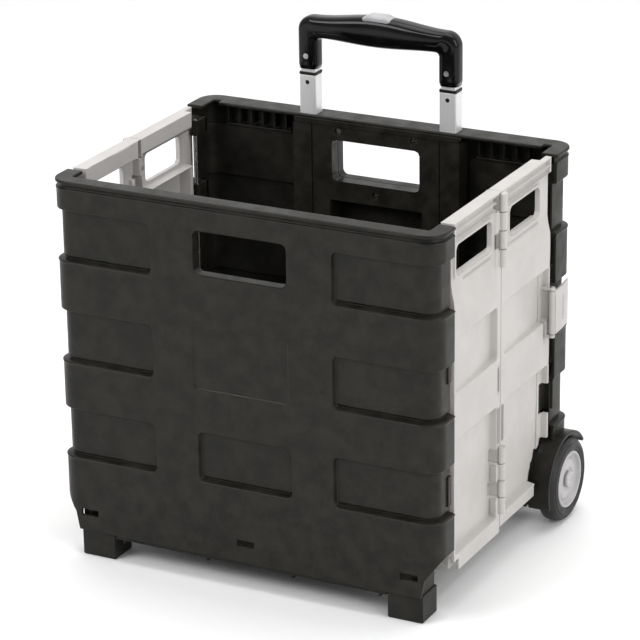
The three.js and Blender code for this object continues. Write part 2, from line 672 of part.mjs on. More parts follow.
// The button is a rounded bar with its top edges sloped.
function makeButton() {
  const half = buttonLength / 2;
  const side = [[-half, buttonBottom], [half, buttonBottom],
    [half, buttonTop - 3], [half - 3, buttonTop - 0.8],
    [half - 9, buttonTop], [9 - half, buttonTop], [3 - half, buttonTop - 0.8], [-half, buttonTop - 3]];
  const section = roundedRectangle(tubeY - buttonWidth / 2, tubeY + buttonWidth / 2,
    buttonBottom - 4, buttonTop, 4, 3);
  return prismY(side, tubeY - buttonWidth / 2, tubeY + buttonWidth / 2)
    .intersect(prismX(section, -half - 1, half + 1));
}

// ---------------------------------------------------------------- wheels
const wheelOuterX = wheelInnerX + wheelWidth;

function makeTyre() {
  const shoulder = 5;
  return turned([
    [rimRadius + gap, wheelInnerX + 1], [wheelRadius - 6, wheelInnerX],
    [wheelRadius, wheelInnerX + shoulder], [wheelRadius, wheelOuterX - shoulder],
    [wheelRadius - 6, wheelOuterX], [rimRadius + gap, wheelOuterX - 1],
  ], wheelY, wheelRadius);
}

function makeWheelRim() {
  const bore = axleRadius + 0.3;
  return turned([
    [bore, wheelInnerX + 3], [rimRadius, wheelInnerX + 1.5], [rimRadius, wheelOuterX - 1.5],
    [rimRadius - 2.2, wheelOuterX - 1.5],
    [rimRadius - 3.4, wheelOuterX - 4.5], [13, wheelOuterX - 2.8], [bore, wheelOuterX - 2.8],
  ], wheelY, wheelRadius);
}

function makeHubCap() {
  const seat = wheelOuterX - 2.5;
  const profile = [[0, seat], [8, seat], [8, wheelOuterX - 1.2], [6.5, wheelOuterX], [0, wheelOuterX]]
    .map(([r, x]) => new THREE.Vector2(r, x));
  const lathe = new THREE.LatheGeometry(profile, 14);
  return solid(lathe.rotateZ(-Math.PI / 2).translate(0, wheelY, wheelRadius));
}

// ---------------------------------------------------------------- put together
piece('rear_panel', makeRearPanel(), blackPlastic);
piece('tube_cover', makeTubeCover(), blackPlastic);
screwPlaces.forEach(([x, z], i) => piece(`cover_screw_${i + 1}`, join(
  bar('y', x, z, screwHead.radius, shelfY - gap - screwHead.height, shelfY - gap, 12),
  bar('y', x, z, screwShank, shelfY - 1, shelfY + 12, 8)), steel));
pair('outer_tube', rectangularTube(outerTube, ...outerTubeEnds), aluminium);
pair('tube_end_plug', join(tubeBlock(outerTube.width, outerTube.depth, 42, 45.7),
  tubeBlock(outerTube.width - 4, outerTube.depth - 4, 45, 51.5)), blackPlastic);
pair('wheel_axle', bar('x', wheelY, wheelRadius, axleRadius,
  footOuter - 9.5, wheelOuterX - 3, axleSides), steel);
piece('floor_hinge_pin', bar('x', floorHingeY, floorTop, floorPinRadius, -157, 157, pinSides), steel);
pair('rear_hinge_pin', bar('z', hingeX, rearHingeY, pinRadius, 104, 369, pinSides), steel);

pair('tyre', makeTyre(), tyreRubber);
pair('wheel_rim', makeWheelRim(), wheelGrey);
pair('hub_cap', makeHubCap(), wheelGrey);

pair('mid_tube', cut(rectangularTube(midTube, midTubeBottom, midTubeTop),
  bar('y', tubeX, midTubeTop - 7, 2.2, tubeY - 20, tubeY, 12)), aluminium);
pair('mid_collar', cut(tubeBlock(midTube.width + 0.4, midTube.depth + 0.4,
  midTubeTop + gap, midTubeTop + gap + collarHeight),
tubeBlock(innerTube.width + 0.6, innerTube.depth + 0.6, midTubeTop - 5, midTubeTop + 9)), blackPlastic);
pair('mid_glide', join(tubeBlock(midTube.width, midTube.depth, 54, 59.7),
  tubeBlock(midTube.width - 3, midTube.depth - 3, 59, 65)), blackPlastic);
pair('inner_tube', cut(rectangularTube(innerTube, innerTubeBottom, innerTubeTop),
  bar('y', tubeX, gripScrewZ, screwShank + 0.3, tubeY - 20, tubeY, 10)), aluminium);
pair('inner_glide', join(tubeBlock(innerTube.width, innerTube.depth, 66, 71.7),
  tubeBlock(innerTube.width - 3, innerTube.depth - 3, 71, 77)), blackPlastic);
pair('lock_rod', bar('z', tubeX, tubeY, pinRadius, 79, innerTubeTop - 1, pinSides), steel);
piece('grip', makeGrip(), glossBlack);
pair('grip_screw', join(
  bar('y', tubeX, gripScrewZ, 2.8, tubeY - 10.6, tubeY - 9.4, 12),
  bar('y', tubeX, gripScrewZ, screwShank, tubeY - 10, tubeY - 4, 8)), steel);
piece('button_spring', makeButtonSpring(), steel);
piece('release_button', makeButton(), buttonGrey);

piece('floor_panel', makeFloor(), blackPlastic);

pair('rear_side_panel', makeRearHalf(), greyPlastic);
pair('front_side_panel', makeFrontHalf(), greyPlastic);
middlePins.forEach(([z0, z1], i) => pair(i === 0 ? 'top_middle_pin' : 'low_middle_pin',
  bar('z', middleHingeX, middleY, pinRadius, z0, z1, pinSides), steel));
pair('latch', makeLatch(), greyPlastic);
pair('latch_pin', bar('z', latch.x, latch.y, 1.5, latch.z0 - 5.5, latch.z1 + 5.5, pinSides), steel);

piece('front_panel', makeFrontPanel(), blackPlastic);
pair('front_hinge_pin', bar('z', hingeX, frontHingeY, pinRadius, 78, 369, pinSides), steel);
pair('foot', makeFoot(), blackPlastic);

// Centre the whole trolley on its own box, with the ground at z = 0.
const box = new THREE.Box3().setFromObject(trolley);
trolley.position.y = -(box.min.y + box.max.y) / 2;

export default trolley;
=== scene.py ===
# %% [markdown]
# # A folding shopping trolley
# The trolley is a plastic crate that folds flat, on two wheels and two block feet, with a
# telescopic handle. Its working parts come from a fixed frame: every hinge, tube and wheel is
# already in its place, in metres. This lesson dresses that frame. Each piece here is built
# around the part it stands for, rides on the same body, and never changes the size.

# %% Load the frame
import json
import math
import bmesh
import bpy
import numpy as np
from mathutils import Matrix, Vector


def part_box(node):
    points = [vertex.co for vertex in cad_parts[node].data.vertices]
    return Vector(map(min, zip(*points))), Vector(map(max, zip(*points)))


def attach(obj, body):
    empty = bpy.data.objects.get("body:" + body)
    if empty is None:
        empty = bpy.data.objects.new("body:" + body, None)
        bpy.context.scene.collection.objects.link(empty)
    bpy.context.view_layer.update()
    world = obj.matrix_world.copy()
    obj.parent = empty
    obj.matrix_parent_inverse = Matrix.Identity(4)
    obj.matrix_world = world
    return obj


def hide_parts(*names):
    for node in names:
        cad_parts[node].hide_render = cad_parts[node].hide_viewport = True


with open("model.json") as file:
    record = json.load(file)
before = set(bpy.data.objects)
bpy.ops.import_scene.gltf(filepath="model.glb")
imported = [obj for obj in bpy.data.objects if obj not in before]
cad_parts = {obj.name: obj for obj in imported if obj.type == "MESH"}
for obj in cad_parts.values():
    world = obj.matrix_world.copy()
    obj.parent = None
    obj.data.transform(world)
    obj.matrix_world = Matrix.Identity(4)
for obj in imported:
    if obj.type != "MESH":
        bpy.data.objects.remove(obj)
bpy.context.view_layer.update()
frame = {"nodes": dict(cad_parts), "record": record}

nodes = frame["nodes"]

# %% [markdown]
# A maker draws this crate in millimetres, with y = 0 on the outer face of the front panel.
# Blender works in metres. One small function turns drawing numbers into places in the frame,
# so every later cell can use the drawing. The rim of the front panel stands 1 mm proud of the
# face, which gives the face's place from the panel's own box.

# %% Drawing numbers to places
MM = 0.001
RIM_OVERHANG = 1
face_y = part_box("front_panel")[0].y + RIM_OVERHANG * MM


def place(x, y, z):
    return (x * MM, face_y + y * MM, z * MM)


TUBE_TO_BACK = 13.4
tube_low, tube_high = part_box("outer_tube_right")
crate_depth = ((tube_low.y + tube_high.y) / 2 - face_y) / MM + TUBE_TO_BACK
crate_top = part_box("rear_panel")[1].z / MM
half_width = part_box("front_panel")[1].x / MM
print(f"crate {crate_depth:.1f} mm deep, rim at {crate_top:.1f} mm")

# %% [markdown]
# The camera comes first, because every later choice of detail is judged through it. It looks
# down a little, from the front and the right, through a long lens, as a catalogue would show
# the trolley. A camera needs a place and three axes: right, up and back. They come from a
# turn, a tilt and a slight roll, which is easier to read than a table of angles.

# %% Camera
TURN, TILT, ROLL = math.radians(27.3), math.radians(-20.6), math.radians(-0.8)
ahead = Vector((-math.sin(TURN) * math.cos(TILT), math.cos(TURN) * math.cos(TILT), math.sin(TILT)))
level = ahead.cross(Vector((0, 0, 1))).normalized()
upward = level.cross(ahead)
right = math.cos(ROLL) * level + math.sin(ROLL) * upward
top = math.cos(ROLL) * upward - math.sin(ROLL) * level
camera = bpy.data.objects.new("camera", bpy.data.cameras.new("camera"))
camera.data.lens = 178.96
camera.data.sensor_width = 36
camera.data.clip_end = 20
axes = Matrix((right, top, -ahead)).transposed().to_4x4()
camera.matrix_world = Matrix.Translation(place(1308.1, -2376.0, 1289.2)) @ axes
bpy.context.scene.collection.objects.link(camera)
bpy.context.scene.camera = camera
print("camera at", tuple(round(v, 3) for v in camera.location))

# %% [markdown]
# The studio is a large white floor, a soft sky that is brighter behind the trolley, and three
# wide area lights. Wide lights give long soft highlights, which is what shows the form of black
# plastic: a small lamp would give only points. The floor is a plain sheet, not part of the trolley.

# %% Floor and light
def soft_light(name, spot, aim, size, watts):
    lamp = bpy.data.lights.new(name, "AREA")
    lamp.shape = "RECTANGLE"
    lamp.size, lamp.size_y = size
    lamp.energy = watts
    holder = bpy.data.objects.new(name, lamp)
    holder.location = spot
    holder.rotation_euler = (Vector(aim) - Vector(spot)).to_track_quat("-Z", "Y").to_euler()
    bpy.context.scene.collection.objects.link(holder)


middle = (0, 0, 0.22)
soft_light("key", (-1.5, -2.1, 2.1), middle, (1.6, 1.2), 46)
soft_light("fill", (2.4, -0.9, 1.3), middle, (1.4, 1.6), 30)
soft_light("overhead", (0.1, 0.3, 2.6), middle, (2.2, 2.2), 42)

world = bpy.data.worlds.new("studio")
bpy.context.scene.world = world
world.use_nodes = True
world_tree = world.node_tree
sky = world_tree.nodes["Background"]
sky.inputs["Color"].default_value = (1.0, 1.0, 1.0, 1)
sky_direction = world_tree.nodes.new("ShaderNodeTexCoord")
sky_axes = world_tree.nodes.new("ShaderNodeSeparateXYZ")
sky_range = world_tree.nodes.new("ShaderNodeMapRange")
sky_range.inputs["From Min"].default_value, sky_range.inputs["From Max"].default_value = -0.9, 0.6
sky_range.inputs["To Min"].default_value, sky_range.inputs["To Max"].default_value = 0.34, 1.05
world_tree.links.new(sky_direction.outputs["Generated"], sky_axes.inputs["Vector"])
world_tree.links.new(sky_axes.outputs["Y"], sky_range.inputs["Value"])
world_tree.links.new(sky_range.outputs["Result"], sky.inputs["Strength"])
bpy.context.scene.view_settings.view_transform = "Standard"

floor_half = 6.0
floor_mesh = bpy.data.meshes.new("studio_floor")
floor_mesh.from_pydata([(-floor_half, -floor_half, 0), (floor_half, -floor_half, 0),
                        (floor_half, floor_half, 0), (-floor_half, floor_half, 0)], [], [(0, 1, 2, 3)])
studio_floor = bpy.data.objects.new("studio_floor", floor_mesh)
bpy.context.scene.collection.objects.link(studio_floor)
print("studio ready")

# %% [markdown]
# Materials next. Moulded plastic is never one flat colour: it has a fine spark-eroded grain,
# slightly duller and shinier patches where hands and dust have been, and a little flow
# mottling. Each finish below is a Principled shader whose colour, roughness and bump come from
# noise in the piece's own coordinates, so the pattern travels with the piece when it moves.
# A helper builds the common part: patches of centimetres and grain of about a millimetre.

# %% A helper for finishes
def finish(name, colour, second, roughness, metallic=0.0, patch=28.0, grain=1400.0, bump=0.12,
           stretch=(1, 1, 1), patch_edges=(0.42, 0.62), specular=0.5):
    """A shader with patches between two colours and two roughnesses, and a fine grain."""
    material = bpy.data.materials.new(name)
    material.use_nodes = True
    tree = material.node_tree
    link = tree.links.new
    shader = tree.nodes["Principled BSDF"]
    shader.inputs["Metallic"].default_value = metallic
    shader.inputs["Specular IOR Level"].default_value = specular
    where = tree.nodes.new("ShaderNodeTexCoord")
    scaled = tree.nodes.new("ShaderNodeMapping")
    scaled.inputs["Scale"].default_value = stretch
    link(where.outputs["Object"], scaled.inputs["Vector"])

    patches = tree.nodes.new("ShaderNodeTexNoise")
    patches.inputs["Scale"].default_value = patch
    patches.inputs["Detail"].default_value = 5
    patches.inputs["Roughness"].default_value = 0.62
    link(scaled.outputs["Vector"], patches.inputs["Vector"])
    edge = tree.nodes.new("ShaderNodeMapRange")
    edge.inputs["From Min"].default_value, edge.inputs["From Max"].default_value = patch_edges
    link(patches.outputs["Fac"], edge.inputs["Value"])

    mix = tree.nodes.new("ShaderNodeMix")
    mix.data_type = "RGBA"
    mix.inputs["A"].default_value = (*colour, 1)
    mix.inputs["B"].default_value = (*second, 1)
    link(edge.outputs["Result"], mix.inputs["Factor"])
    link(mix.outputs["Result"], shader.inputs["Base Color"])

    gloss = tree.nodes.new("ShaderNodeMapRange")
    gloss.inputs["To Min"].default_value, gloss.inputs["To Max"].default_value = roughness
    link(edge.outputs["Result"], gloss.inputs["Value"])
    link(gloss.outputs["Result"], shader.inputs["Roughness"])

    fine = tree.nodes.new("ShaderNodeTexNoise")
    fine.inputs["Scale"].default_value = grain
    fine.inputs["Detail"].default_value = 2
    link(scaled.outputs["Vector"], fine.inputs["Vector"])
    relief = tree.nodes.new("ShaderNodeBump")
    relief.inputs["Strength"].default_value = bump
    relief.inputs["Distance"].default_value = 0.0004
    link(fine.outputs["Fac"], relief.inputs["Height"])
    link(relief.outputs["Normal"], shader.inputs["Normal"])
    print("finish", name)
    return material


# %% [markdown]
# The finishes of this trolley. The black is a warm, slightly green charcoal, semi-gloss with
# duller dusty patches. The pale grey is a satin plastic. The handle tubes are anodised
# aluminium: their grain is stretched along Z, the way a drawn tube is brushed. The grip is
# polished black, the tyres are matt rubber, and the wheels are silver-grey plastic.

# %% The finishes
black_plastic = finish("charcoal_plastic", (0.0105, 0.0100, 0.0082), (0.0205, 0.0195, 0.0158),
                       (0.28, 0.50), patch=60, grain=900, bump=0.22, patch_edges=(0.38, 0.66),
                       specular=0.16)
grey_plastic = finish("pale_grey_plastic", (0.45, 0.433, 0.416), (0.42, 0.403, 0.388),
                      (0.36, 0.46), patch=18, grain=1500, bump=0.08, specular=0.4)
brushed_tube = finish("brushed_aluminium", (0.80, 0.80, 0.80), (0.74, 0.74, 0.745),
                      (0.34, 0.42), metallic=0.55, patch=900, grain=2600, bump=0.03,
                      stretch=(1, 1, 0.02))
polished_grip = finish("polished_black", (0.003, 0.003, 0.0034), (0.006, 0.006, 0.006),
                       (0.07, 0.12), patch=30, grain=900, bump=0.02, specular=0.2)
button_plastic = finish("button_grey", (0.36, 0.36, 0.37), (0.31, 0.31, 0.32),
                        (0.32, 0.42), patch=60, grain=1500, bump=0.06)
tyre_rubber = finish("tyre_rubber", (0.0085, 0.0085, 0.0090), (0.0135, 0.0135, 0.0130),
                     (0.42, 0.60), patch=90, grain=1900, bump=0.25, specular=0.35)
wheel_plastic = finish("silver_grey_plastic", (0.40, 0.385, 0.39), (0.37, 0.36, 0.365),
                       (0.28, 0.36), patch=60, grain=1700, bump=0.04)
bright_steel = finish("bright_steel", (0.62, 0.62, 0.63), (0.56, 0.56, 0.57),
                      (0.20, 0.30), metallic=1.0, patch=160, grain=2200, bump=0.04)
paper_white = finish("studio_white", (0.86, 0.86, 0.86), (0.85, 0.85, 0.85),
                     (0.8, 0.9), patch=2, grain=200, bump=0.0)
studio_floor.data.materials.append(paper_white)

FINISH_OF_SLOT = {
    "black_plastic": black_plastic, "grey_plastic": grey_plastic, "handle_tube": brushed_tube,
    "grip_black": polished_grip, "button_grey": button_plastic, "tyre_black": tyre_rubber,
    "wheel_grey": wheel_plastic, "steel": bright_steel,
}

# %% [markdown]
# Many small working parts keep their own shape: pins, rods, screws and glides. They need a
# finish. The record says which slot each part belongs to, so one loop gives every part its own.

# %% Finishes for the frame's own parts
slot_of_node = {row["node"]: row["material_slot"] for row in frame["record"]["subparts"]}
for name, part in nodes.items():
    part.data.materials.clear()
    part.data.materials.append(FINISH_OF_SLOT[slot_of_node[name]])
print("slots:", sorted(set(slot_of_node.values())))

# %% [markdown]
# Moulded walls are the main thing on this object: thin sheets with sunk fields, grooves and
# hand holes. A boolean cut on a box leaves long thin faces that shade badly. Instead each wall
# is a woven grid: lines run close together beside every edge of the relief, each grid point is
# pushed in by a smooth depth, and the back is a second layer of the same grid. The result is
# all four-sided faces, with soft rounded steps like a real moulding.

# %% Grid lines that gather at the edges
NEAR_EDGE = (-3.2, -2.2, -1.5, -0.9, -0.3, 0.0, 0.3, 0.9, 1.5, 2.2, 3.2, 4.5)


def grid_lines(low, high, edges, step, extra=()):
    """Lines from low to high: a bundle at each edge (its place and its inward side)."""
    marks = {low, high, *extra}
    for edge, inward in edges:
        marks |= {edge + inward * offset for offset in NEAR_EDGE}
    lines = [low]
    for mark in sorted(m for m in marks if low < m <= high):
        start = lines[-1]
        if mark - start < 0.25 and mark not in extra and mark != high:
            continue
        count = max(1, math.ceil((mark - start) / step))
        lines += [start + (mark - start) * i / count for i in range(1, count + 1)]
    return np.array(lines)


def edges_of(areas):
    """The edges of rectangles, across and up, each with its inward side."""
    across = [(a[0], 1) for a in areas] + [(a[1], -1) for a in areas]
    up = [(a[2], 1) for a in areas] + [(a[3], -1) for a in areas]
    return across, up


# %% [markdown]
# A moulded field never has sharp corners. Bending the grid itself is the neat way: inside the
# corner square of a rectangle every square ring of points becomes an arc, and the bend fades
# out a few millimetres away. The ring number, which is the distance from the nearest edge, is
# also what decides how deep each point lies.

# %% Rounded corners by bending the grid
def bend_corners(across, up, area, radius, bent_across, bent_up):
    """Rounds one rectangle's corners in the bent grid; returns the distance inside its edge."""
    low_u, high_u, low_v, high_v = area
    from_u = np.minimum(across - low_u, high_u - across)
    from_v = np.minimum(up - low_v, high_v - up)
    ring = np.minimum(from_u, from_v)
    reach = 4.0
    corner = (from_u < radius) & (from_v < radius) & (ring > -reach)
    size = np.maximum(radius - ring, 1e-6)
    turn = np.clip((radius - np.maximum(from_u, from_v)) / size, 0, 1) * math.pi / 4
    near, side = radius - size * np.cos(turn), radius - size * np.sin(turn)
    fade = np.clip((reach + ring) / (reach - 1.5), 0, 1) * corner
    new_u = np.where(from_u <= from_v, near, side)
    new_v = np.where(from_u <= from_v, side, near)
    bent_across += fade * np.where(across - low_u < high_u - across, 1, -1) * (new_u - from_u)
    bent_up += fade * np.where(up - low_v < high_v - up, 1, -1) * (new_v - from_v)
    return ring


def inside_of(across, up, area):
    """The distance inside a rectangle's nearest edge, below zero outside it."""
    low_u, high_u, low_v, high_v = area
    return np.minimum(np.minimum(across - low_u, high_u - across),
                      np.minimum(up - low_v, high_v - up))


def slope(ring, start, end):
    """0 before start, 1 after end, and a soft S between."""
    t = np.clip((ring - start) / (end - start), 0, 1)
    return t * t * (3 - 2 * t)


# %% [markdown]
# Every piece goes into the scene the same way: a mesh, smooth shading, a rounded outer edge
# where the wall was cut, normals weighted by face size so flat areas look flat, its finish, a
# parent for the body it rides on, and the parts it stands for hidden.

# %% Adding a piece
def add_piece(name, mesh_data, slot, body, stands_for=(), edge=0.0, cut_edges=False):
    """A finished piece from (points, faces) in millimetres of the drawing."""
    points, faces, walls = mesh_data
    mesh = bpy.data.meshes.new(name)
    work = bmesh.new()
    made = [work.verts.new(place(*p)) for p in points]
    cut_faces = set()
    for number, face in enumerate(faces):
        corners = [made[i] for i in dict.fromkeys(face)]
        if len(corners) > 2:
            new = work.faces.new(corners)
            new.smooth = True
            if number in walls:
                cut_faces.add(new)
    loose = [v for v in work.verts if not v.link_faces]
    bmesh.ops.delete(work, geom=loose, context="VERTS")
    bmesh.ops.recalc_face_normals(work, faces=work.faces)
    if cut_edges:
        weight = work.edges.layers.float.new("bevel_weight_edge")
        for line in work.edges:
            if len({f in cut_faces for f in line.link_faces}) == 2:
                line[weight] = 1.0
    work.to_mesh(mesh)
    work.free()
    piece = bpy.data.objects.new(name, mesh)
    bpy.context.scene.collection.objects.link(piece)
    mesh.materials.append(FINISH_OF_SLOT[slot])
    if edge:
        rounding = piece.modifiers.new("rounded_edge", "BEVEL")
        rounding.width = edge * MM
        rounding.segments = 2
        rounding.limit_method = "WEIGHT" if cut_edges else "ANGLE"
        rounding.angle_limit = math.radians(35)
        rounding.use_clamp_overlap = False
    even = piece.modifiers.new("even_shading", "WEIGHTED_NORMAL")
    even.keep_sharp = True
    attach(piece, body)
    if stands_for:
        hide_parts(*stands_for)
    print(f"{name}: {len(mesh.polygons)} faces on {body}")


# %% [markdown]
# The grid becomes a solid wall here. Two layers of points are made, the front pushed in by the
# relief and the back by the wall's thickness. Cells inside a hole are left out, and wherever a
# cell has no neighbour a narrow wall joins front to back, so every hole gets its thickness.

# %% A solid wall from a grid
def grid_wall(across_lines, up_lines, to_place, front, back, gone, shift=None):
    """front and back give depths on the grid; gone marks the cells that are left out."""
    up, across = np.meshgrid(up_lines, across_lines)
    bent_across, bent_up = across.copy(), up.copy()
    depth_front = front(across, up, bent_across, bent_up)
    depth_back = back(across, up)
    if shift is not None:
        bent_across, bent_up = shift(bent_across, bent_up)
    columns, rows = across.shape
    centre_u = (across[:-1, :-1] + across[1:, 1:]) / 2
    centre_v = (up[:-1, :-1] + up[1:, 1:]) / 2
    kept = ~gone(centre_u, centre_v)
    points = [to_place(bent_across[i, j], bent_up[i, j], depth[i, j])
              for depth in (depth_front, depth_back) for i in range(columns) for j in range(rows)]
    layer = columns * rows
    faces, walls = [], set()
    for i in range(columns - 1):
        for j in range(rows - 1):
            if not kept[i, j]:
                continue
            a, b = i * rows + j, (i + 1) * rows + j
            faces.append((a, b, b + 1, a + 1))
            faces.append((a + layer, a + 1 + layer, b + 1 + layer, b + layer))
            sides = (((i, j - 1), a, b), ((i + 1, j), b, b + 1), ((i, j + 1), b + 1, a + 1),
                     ((i - 1, j), a + 1, a))
            for (ni, nj), start, end in sides:
                open_side = not (0 <= ni < columns - 1 and 0 <= nj < rows - 1) or not kept[ni, nj]
                if open_side:
                    walls.add(len(faces))
                    faces.append((start, end, end + layer, start + layer))
    return points, faces, walls


# %% [markdown]
# The front and rear panels share one plan: a flat face, two rounded corners and two short
# returns that wrap round the sides. A point on the wall is known by its distance along that
# plan, its height and its depth behind the face. The sizes come from the panels' own boxes, so
# the wall stays exactly where the working frame has it.

# %% The plan of a panel
CORNER = 18
WALL = 3.6
RIM_THICK = 3.6
panel_half = half_width - RIM_OVERHANG
PANEL_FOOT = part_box("front_panel")[0].z / MM


def plan_place(panel_return, rear):
    """A function from distance along the plan, height and depth to a drawing place."""
    flat = panel_half - CORNER
    arc = CORNER * math.pi / 2

    def to_place(along, height, depth):
        distance, side = abs(along), math.copysign(1, along)
        if distance <= flat:
            x, y = distance, depth
        elif distance <= flat + arc:
            turn = (distance - flat) / CORNER
            x = flat + (CORNER - depth) * math.sin(turn)
            y = CORNER - (CORNER - depth) * math.cos(turn)
        else:
            x, y = panel_half - depth, CORNER + distance - flat - arc
        return (side * x, crate_depth - y if rear else y, height)

    end = flat + arc + panel_return - CORNER
    return to_place, end


front_place, front_end = plan_place(35, rear=False)
rear_place, rear_end = plan_place(42, rear=True)
print(f"front wall {2 * front_end:.0f} mm along its plan, rear wall {2 * rear_end:.0f} mm")

# %% [markdown]
# The relief of a panel: three rows of sunk fields. The outer fields wrap round the corners,
# the lowest row has one more in the middle, and the middle row has a large shallow one. Each
# field ends below in a narrow groove and a raised lip, which draws the thin dark and bright
# lines that make this crate easy to recognise. A groove runs under the rim all the way round.

# %% The relief of a panel
FIELD_ROWS = ((300.5, 350), (199.5, 250.5), (103, 152))
FIELD_START, FIELD_DEPTH, FIELD_SKIN, FIELD_CORNER = 93.5, 4.6, 2.0, 5.0
BEYOND = 400
GROOVE = (371.5, 376.5)
HOLE_HALF, HOLE_CORNER, HOLE_HEIGHT = 47.5, 6.0, 42


def panel_fields(low_field):
    fields = [(side * FIELD_START if side > 0 else -BEYOND, BEYOND if side > 0 else -FIELD_START,
               low, high, FIELD_DEPTH) for low, high in FIELD_ROWS for side in (-1, 1)]
    fields.append((*low_field, *FIELD_ROWS[2], FIELD_DEPTH))
    fields.append((-51, 48, 195.5, 258, 1.2))
    return fields


def panel_wall(end, to_place, low_field, hole_low, slots, shift):
    fields = panel_fields(low_field)
    hole = (-HOLE_HALF, HOLE_HALF, hole_low, hole_low + HOLE_HEIGHT)
    across_edges, up_edges = edges_of([f[:4] for f in fields] + [hole])
    slot_u = [u for s in slots for u in s[:2]]
    slot_v = [v for s in slots for v in s[2:]]
    flat = panel_half - CORNER
    bends = [side * (flat + CORNER * math.pi / 2 * i / 8) for side in (-1, 1) for i in range(9)]
    across_lines = grid_lines(-end, end, [e for e in across_edges if abs(e[0]) < end], 9,
                              extra=tuple(slot_u + bends))
    groove_lines = tuple(GROOVE[0] + o for o in (-2.6, -1.6, -0.8, -0.2, 0.3, 0.9))
    up_lines = grid_lines(PANEL_FOOT, GROOVE[1], up_edges, 9, extra=tuple(slot_v) + groove_lines)

    def front(across, up, bent_across, bent_up):
        depth = np.zeros_like(up)
        for low_u, high_u, low_v, high_v, sunk in fields:
            area = (low_u, high_u, low_v, high_v)
            ring = bend_corners(across, up, area, FIELD_CORNER, bent_across, bent_up)
            step = sunk * slope(ring, -0.6, 1.2)
            if sunk == FIELD_DEPTH:
                inside = slope(np.minimum(across - low_u, high_u - across), 0.5, 3.5)
                under = up - low_v
                step += 1.7 * inside * slope(under, -0.1, 0.9) * slope(-under, -3.2, -2.2)
                step -= 0.7 * inside * slope(under, -3.0, -1.4) * slope(-under, 0.1, 0.9)
            depth += step
        bend_corners(across, up, hole, HOLE_CORNER, bent_across, bent_up)
        depth += 2.0 * slope(up, GROOVE[0] - 0.3, GROOVE[0] + 0.9)
        bead = slope(up, GROOVE[0] - 2.6, GROOVE[0] - 1.6) * slope(-up, -GROOVE[0], 0.8 - GROOVE[0])
        return depth - 0.5 * bead

    def back(across, up):
        depth = np.full_like(up, WALL)
        for low_u, high_u, low_v, high_v, sunk in fields:
            ring = inside_of(across, up, (low_u, high_u, low_v, high_v))
            thicker = max(0.0, sunk + FIELD_SKIN - WALL)
            depth = np.maximum(depth, WALL + thicker * slope(ring, -3.2, -1.5))
        ring = inside_of(across, up, hole)
        return depth + 8 * slope(ring, -3.2, -2.2)

    def gone(centre_u, centre_v):
        out = np.zeros(centre_u.shape, bool)
        for low_u, high_u, low_v, high_v in [hole, *slots]:
            out |= (centre_u > low_u) & (centre_u < high_u) & (centre_v > low_v) & (centre_v < high_v)
        return out

    return grid_wall(across_lines, up_lines, to_place, front, back, gone, shift)


# %% [markdown]
# The front panel. Its lower corners are cut away at a slant down to the feet, which is done by
# lifting the lowest grid lines there. Three narrow slots near the bottom drain rain water.

# %% The front panel
LIFT_TOP = 98
CUT_FROM, CUT_X, CUT_LOW, CUT_RISE = 182.2, 181.4, 41, 1.4  # start, place, height, steepness


def lift_bottom(lowest):
    """A shift that raises the grid's lowest lines to a given height along the plan."""
    def shift(across, up):
        floor_line = lowest(abs(across))
        share = np.clip((LIFT_TOP - up) / (LIFT_TOP - PANEL_FOOT), 0, 1)
        return across, up + share * (floor_line - PANEL_FOOT)
    return shift


def slanted_corner(distance):
    x = np.vectorize(lambda d: front_place(d, 0, 0)[0])(distance)
    return np.where(distance < CUT_FROM, PANEL_FOOT, CUT_LOW + (x - CUT_X) * CUT_RISE)


SLOT_LOW, SLOT_HIGH = 43.5, 50
front_slots = [(low, high, SLOT_LOW, SLOT_HIGH) for low, high in ((-9, 9), (-178, -160), (160, 178))]
front_wall = panel_wall(front_end, front_place, (-47.5, 50), 308.5, front_slots,
                        lift_bottom(slanted_corner))
add_piece("front_wall", front_wall, "black_plastic", "front_panel", ["front_panel"], 0.6, True)

# %% [markdown]
# The rear panel is the same wall turned round. Its lower corners are cut back in an arc, to
# leave room for the wheels.

# %% The rear panel
WHEEL_Y, WHEEL_Z = 281, 42
WHEEL_ROOM = 46
CUT_INNER = 187.3  # the arc starts this far from the middle


def wheel_arc(distance):
    x, y = np.vectorize(lambda d: rear_place(d, 0, 0)[:2], otypes=[float, float])(distance)
    rise = WHEEL_Z + np.sqrt(np.clip(WHEEL_ROOM ** 2 - (y - WHEEL_Y) ** 2, 0, None))
    return np.where(x < CUT_INNER, PANEL_FOOT, rise)


rear_wall = panel_wall(rear_end, rear_place, (-47.5, 47.5), 315, [], lift_bottom(wheel_arc))
add_piece("rear_wall", rear_wall, "black_plastic", "rear_frame", ["rear_panel"], 0.6, True)

# %% [markdown]
# The rim is a flat band that runs along the top of a panel and round its corners. It is a
# sweep: one rounded cross-section is carried along the plan. The rear rim is deeper between
# the corners, because the handle tubes pass through it.

# %% Outlines and lofts
def rounded_outline(points, radius, steps=3):
    """Rounds every corner of a closed outline in the plane."""
    outline = []
    for index, point in enumerate(points):
        before, after = Vector(points[index - 1]), Vector(points[(index + 1) % len(points)])
        corner = Vector(point)
        to_before, to_after = before - corner, after - corner
        reach = min(radius, 0.45 * to_before.length, 0.45 * to_after.length)
        start = corner + to_before.normalized() * reach
        end = corner + to_after.normalized() * reach
        for i in range(steps + 1):
            t = i / steps
            outline.append((1 - t) ** 2 * start + 2 * t * (1 - t) * corner + t * t * end)
    return [tuple(p) for p in outline]


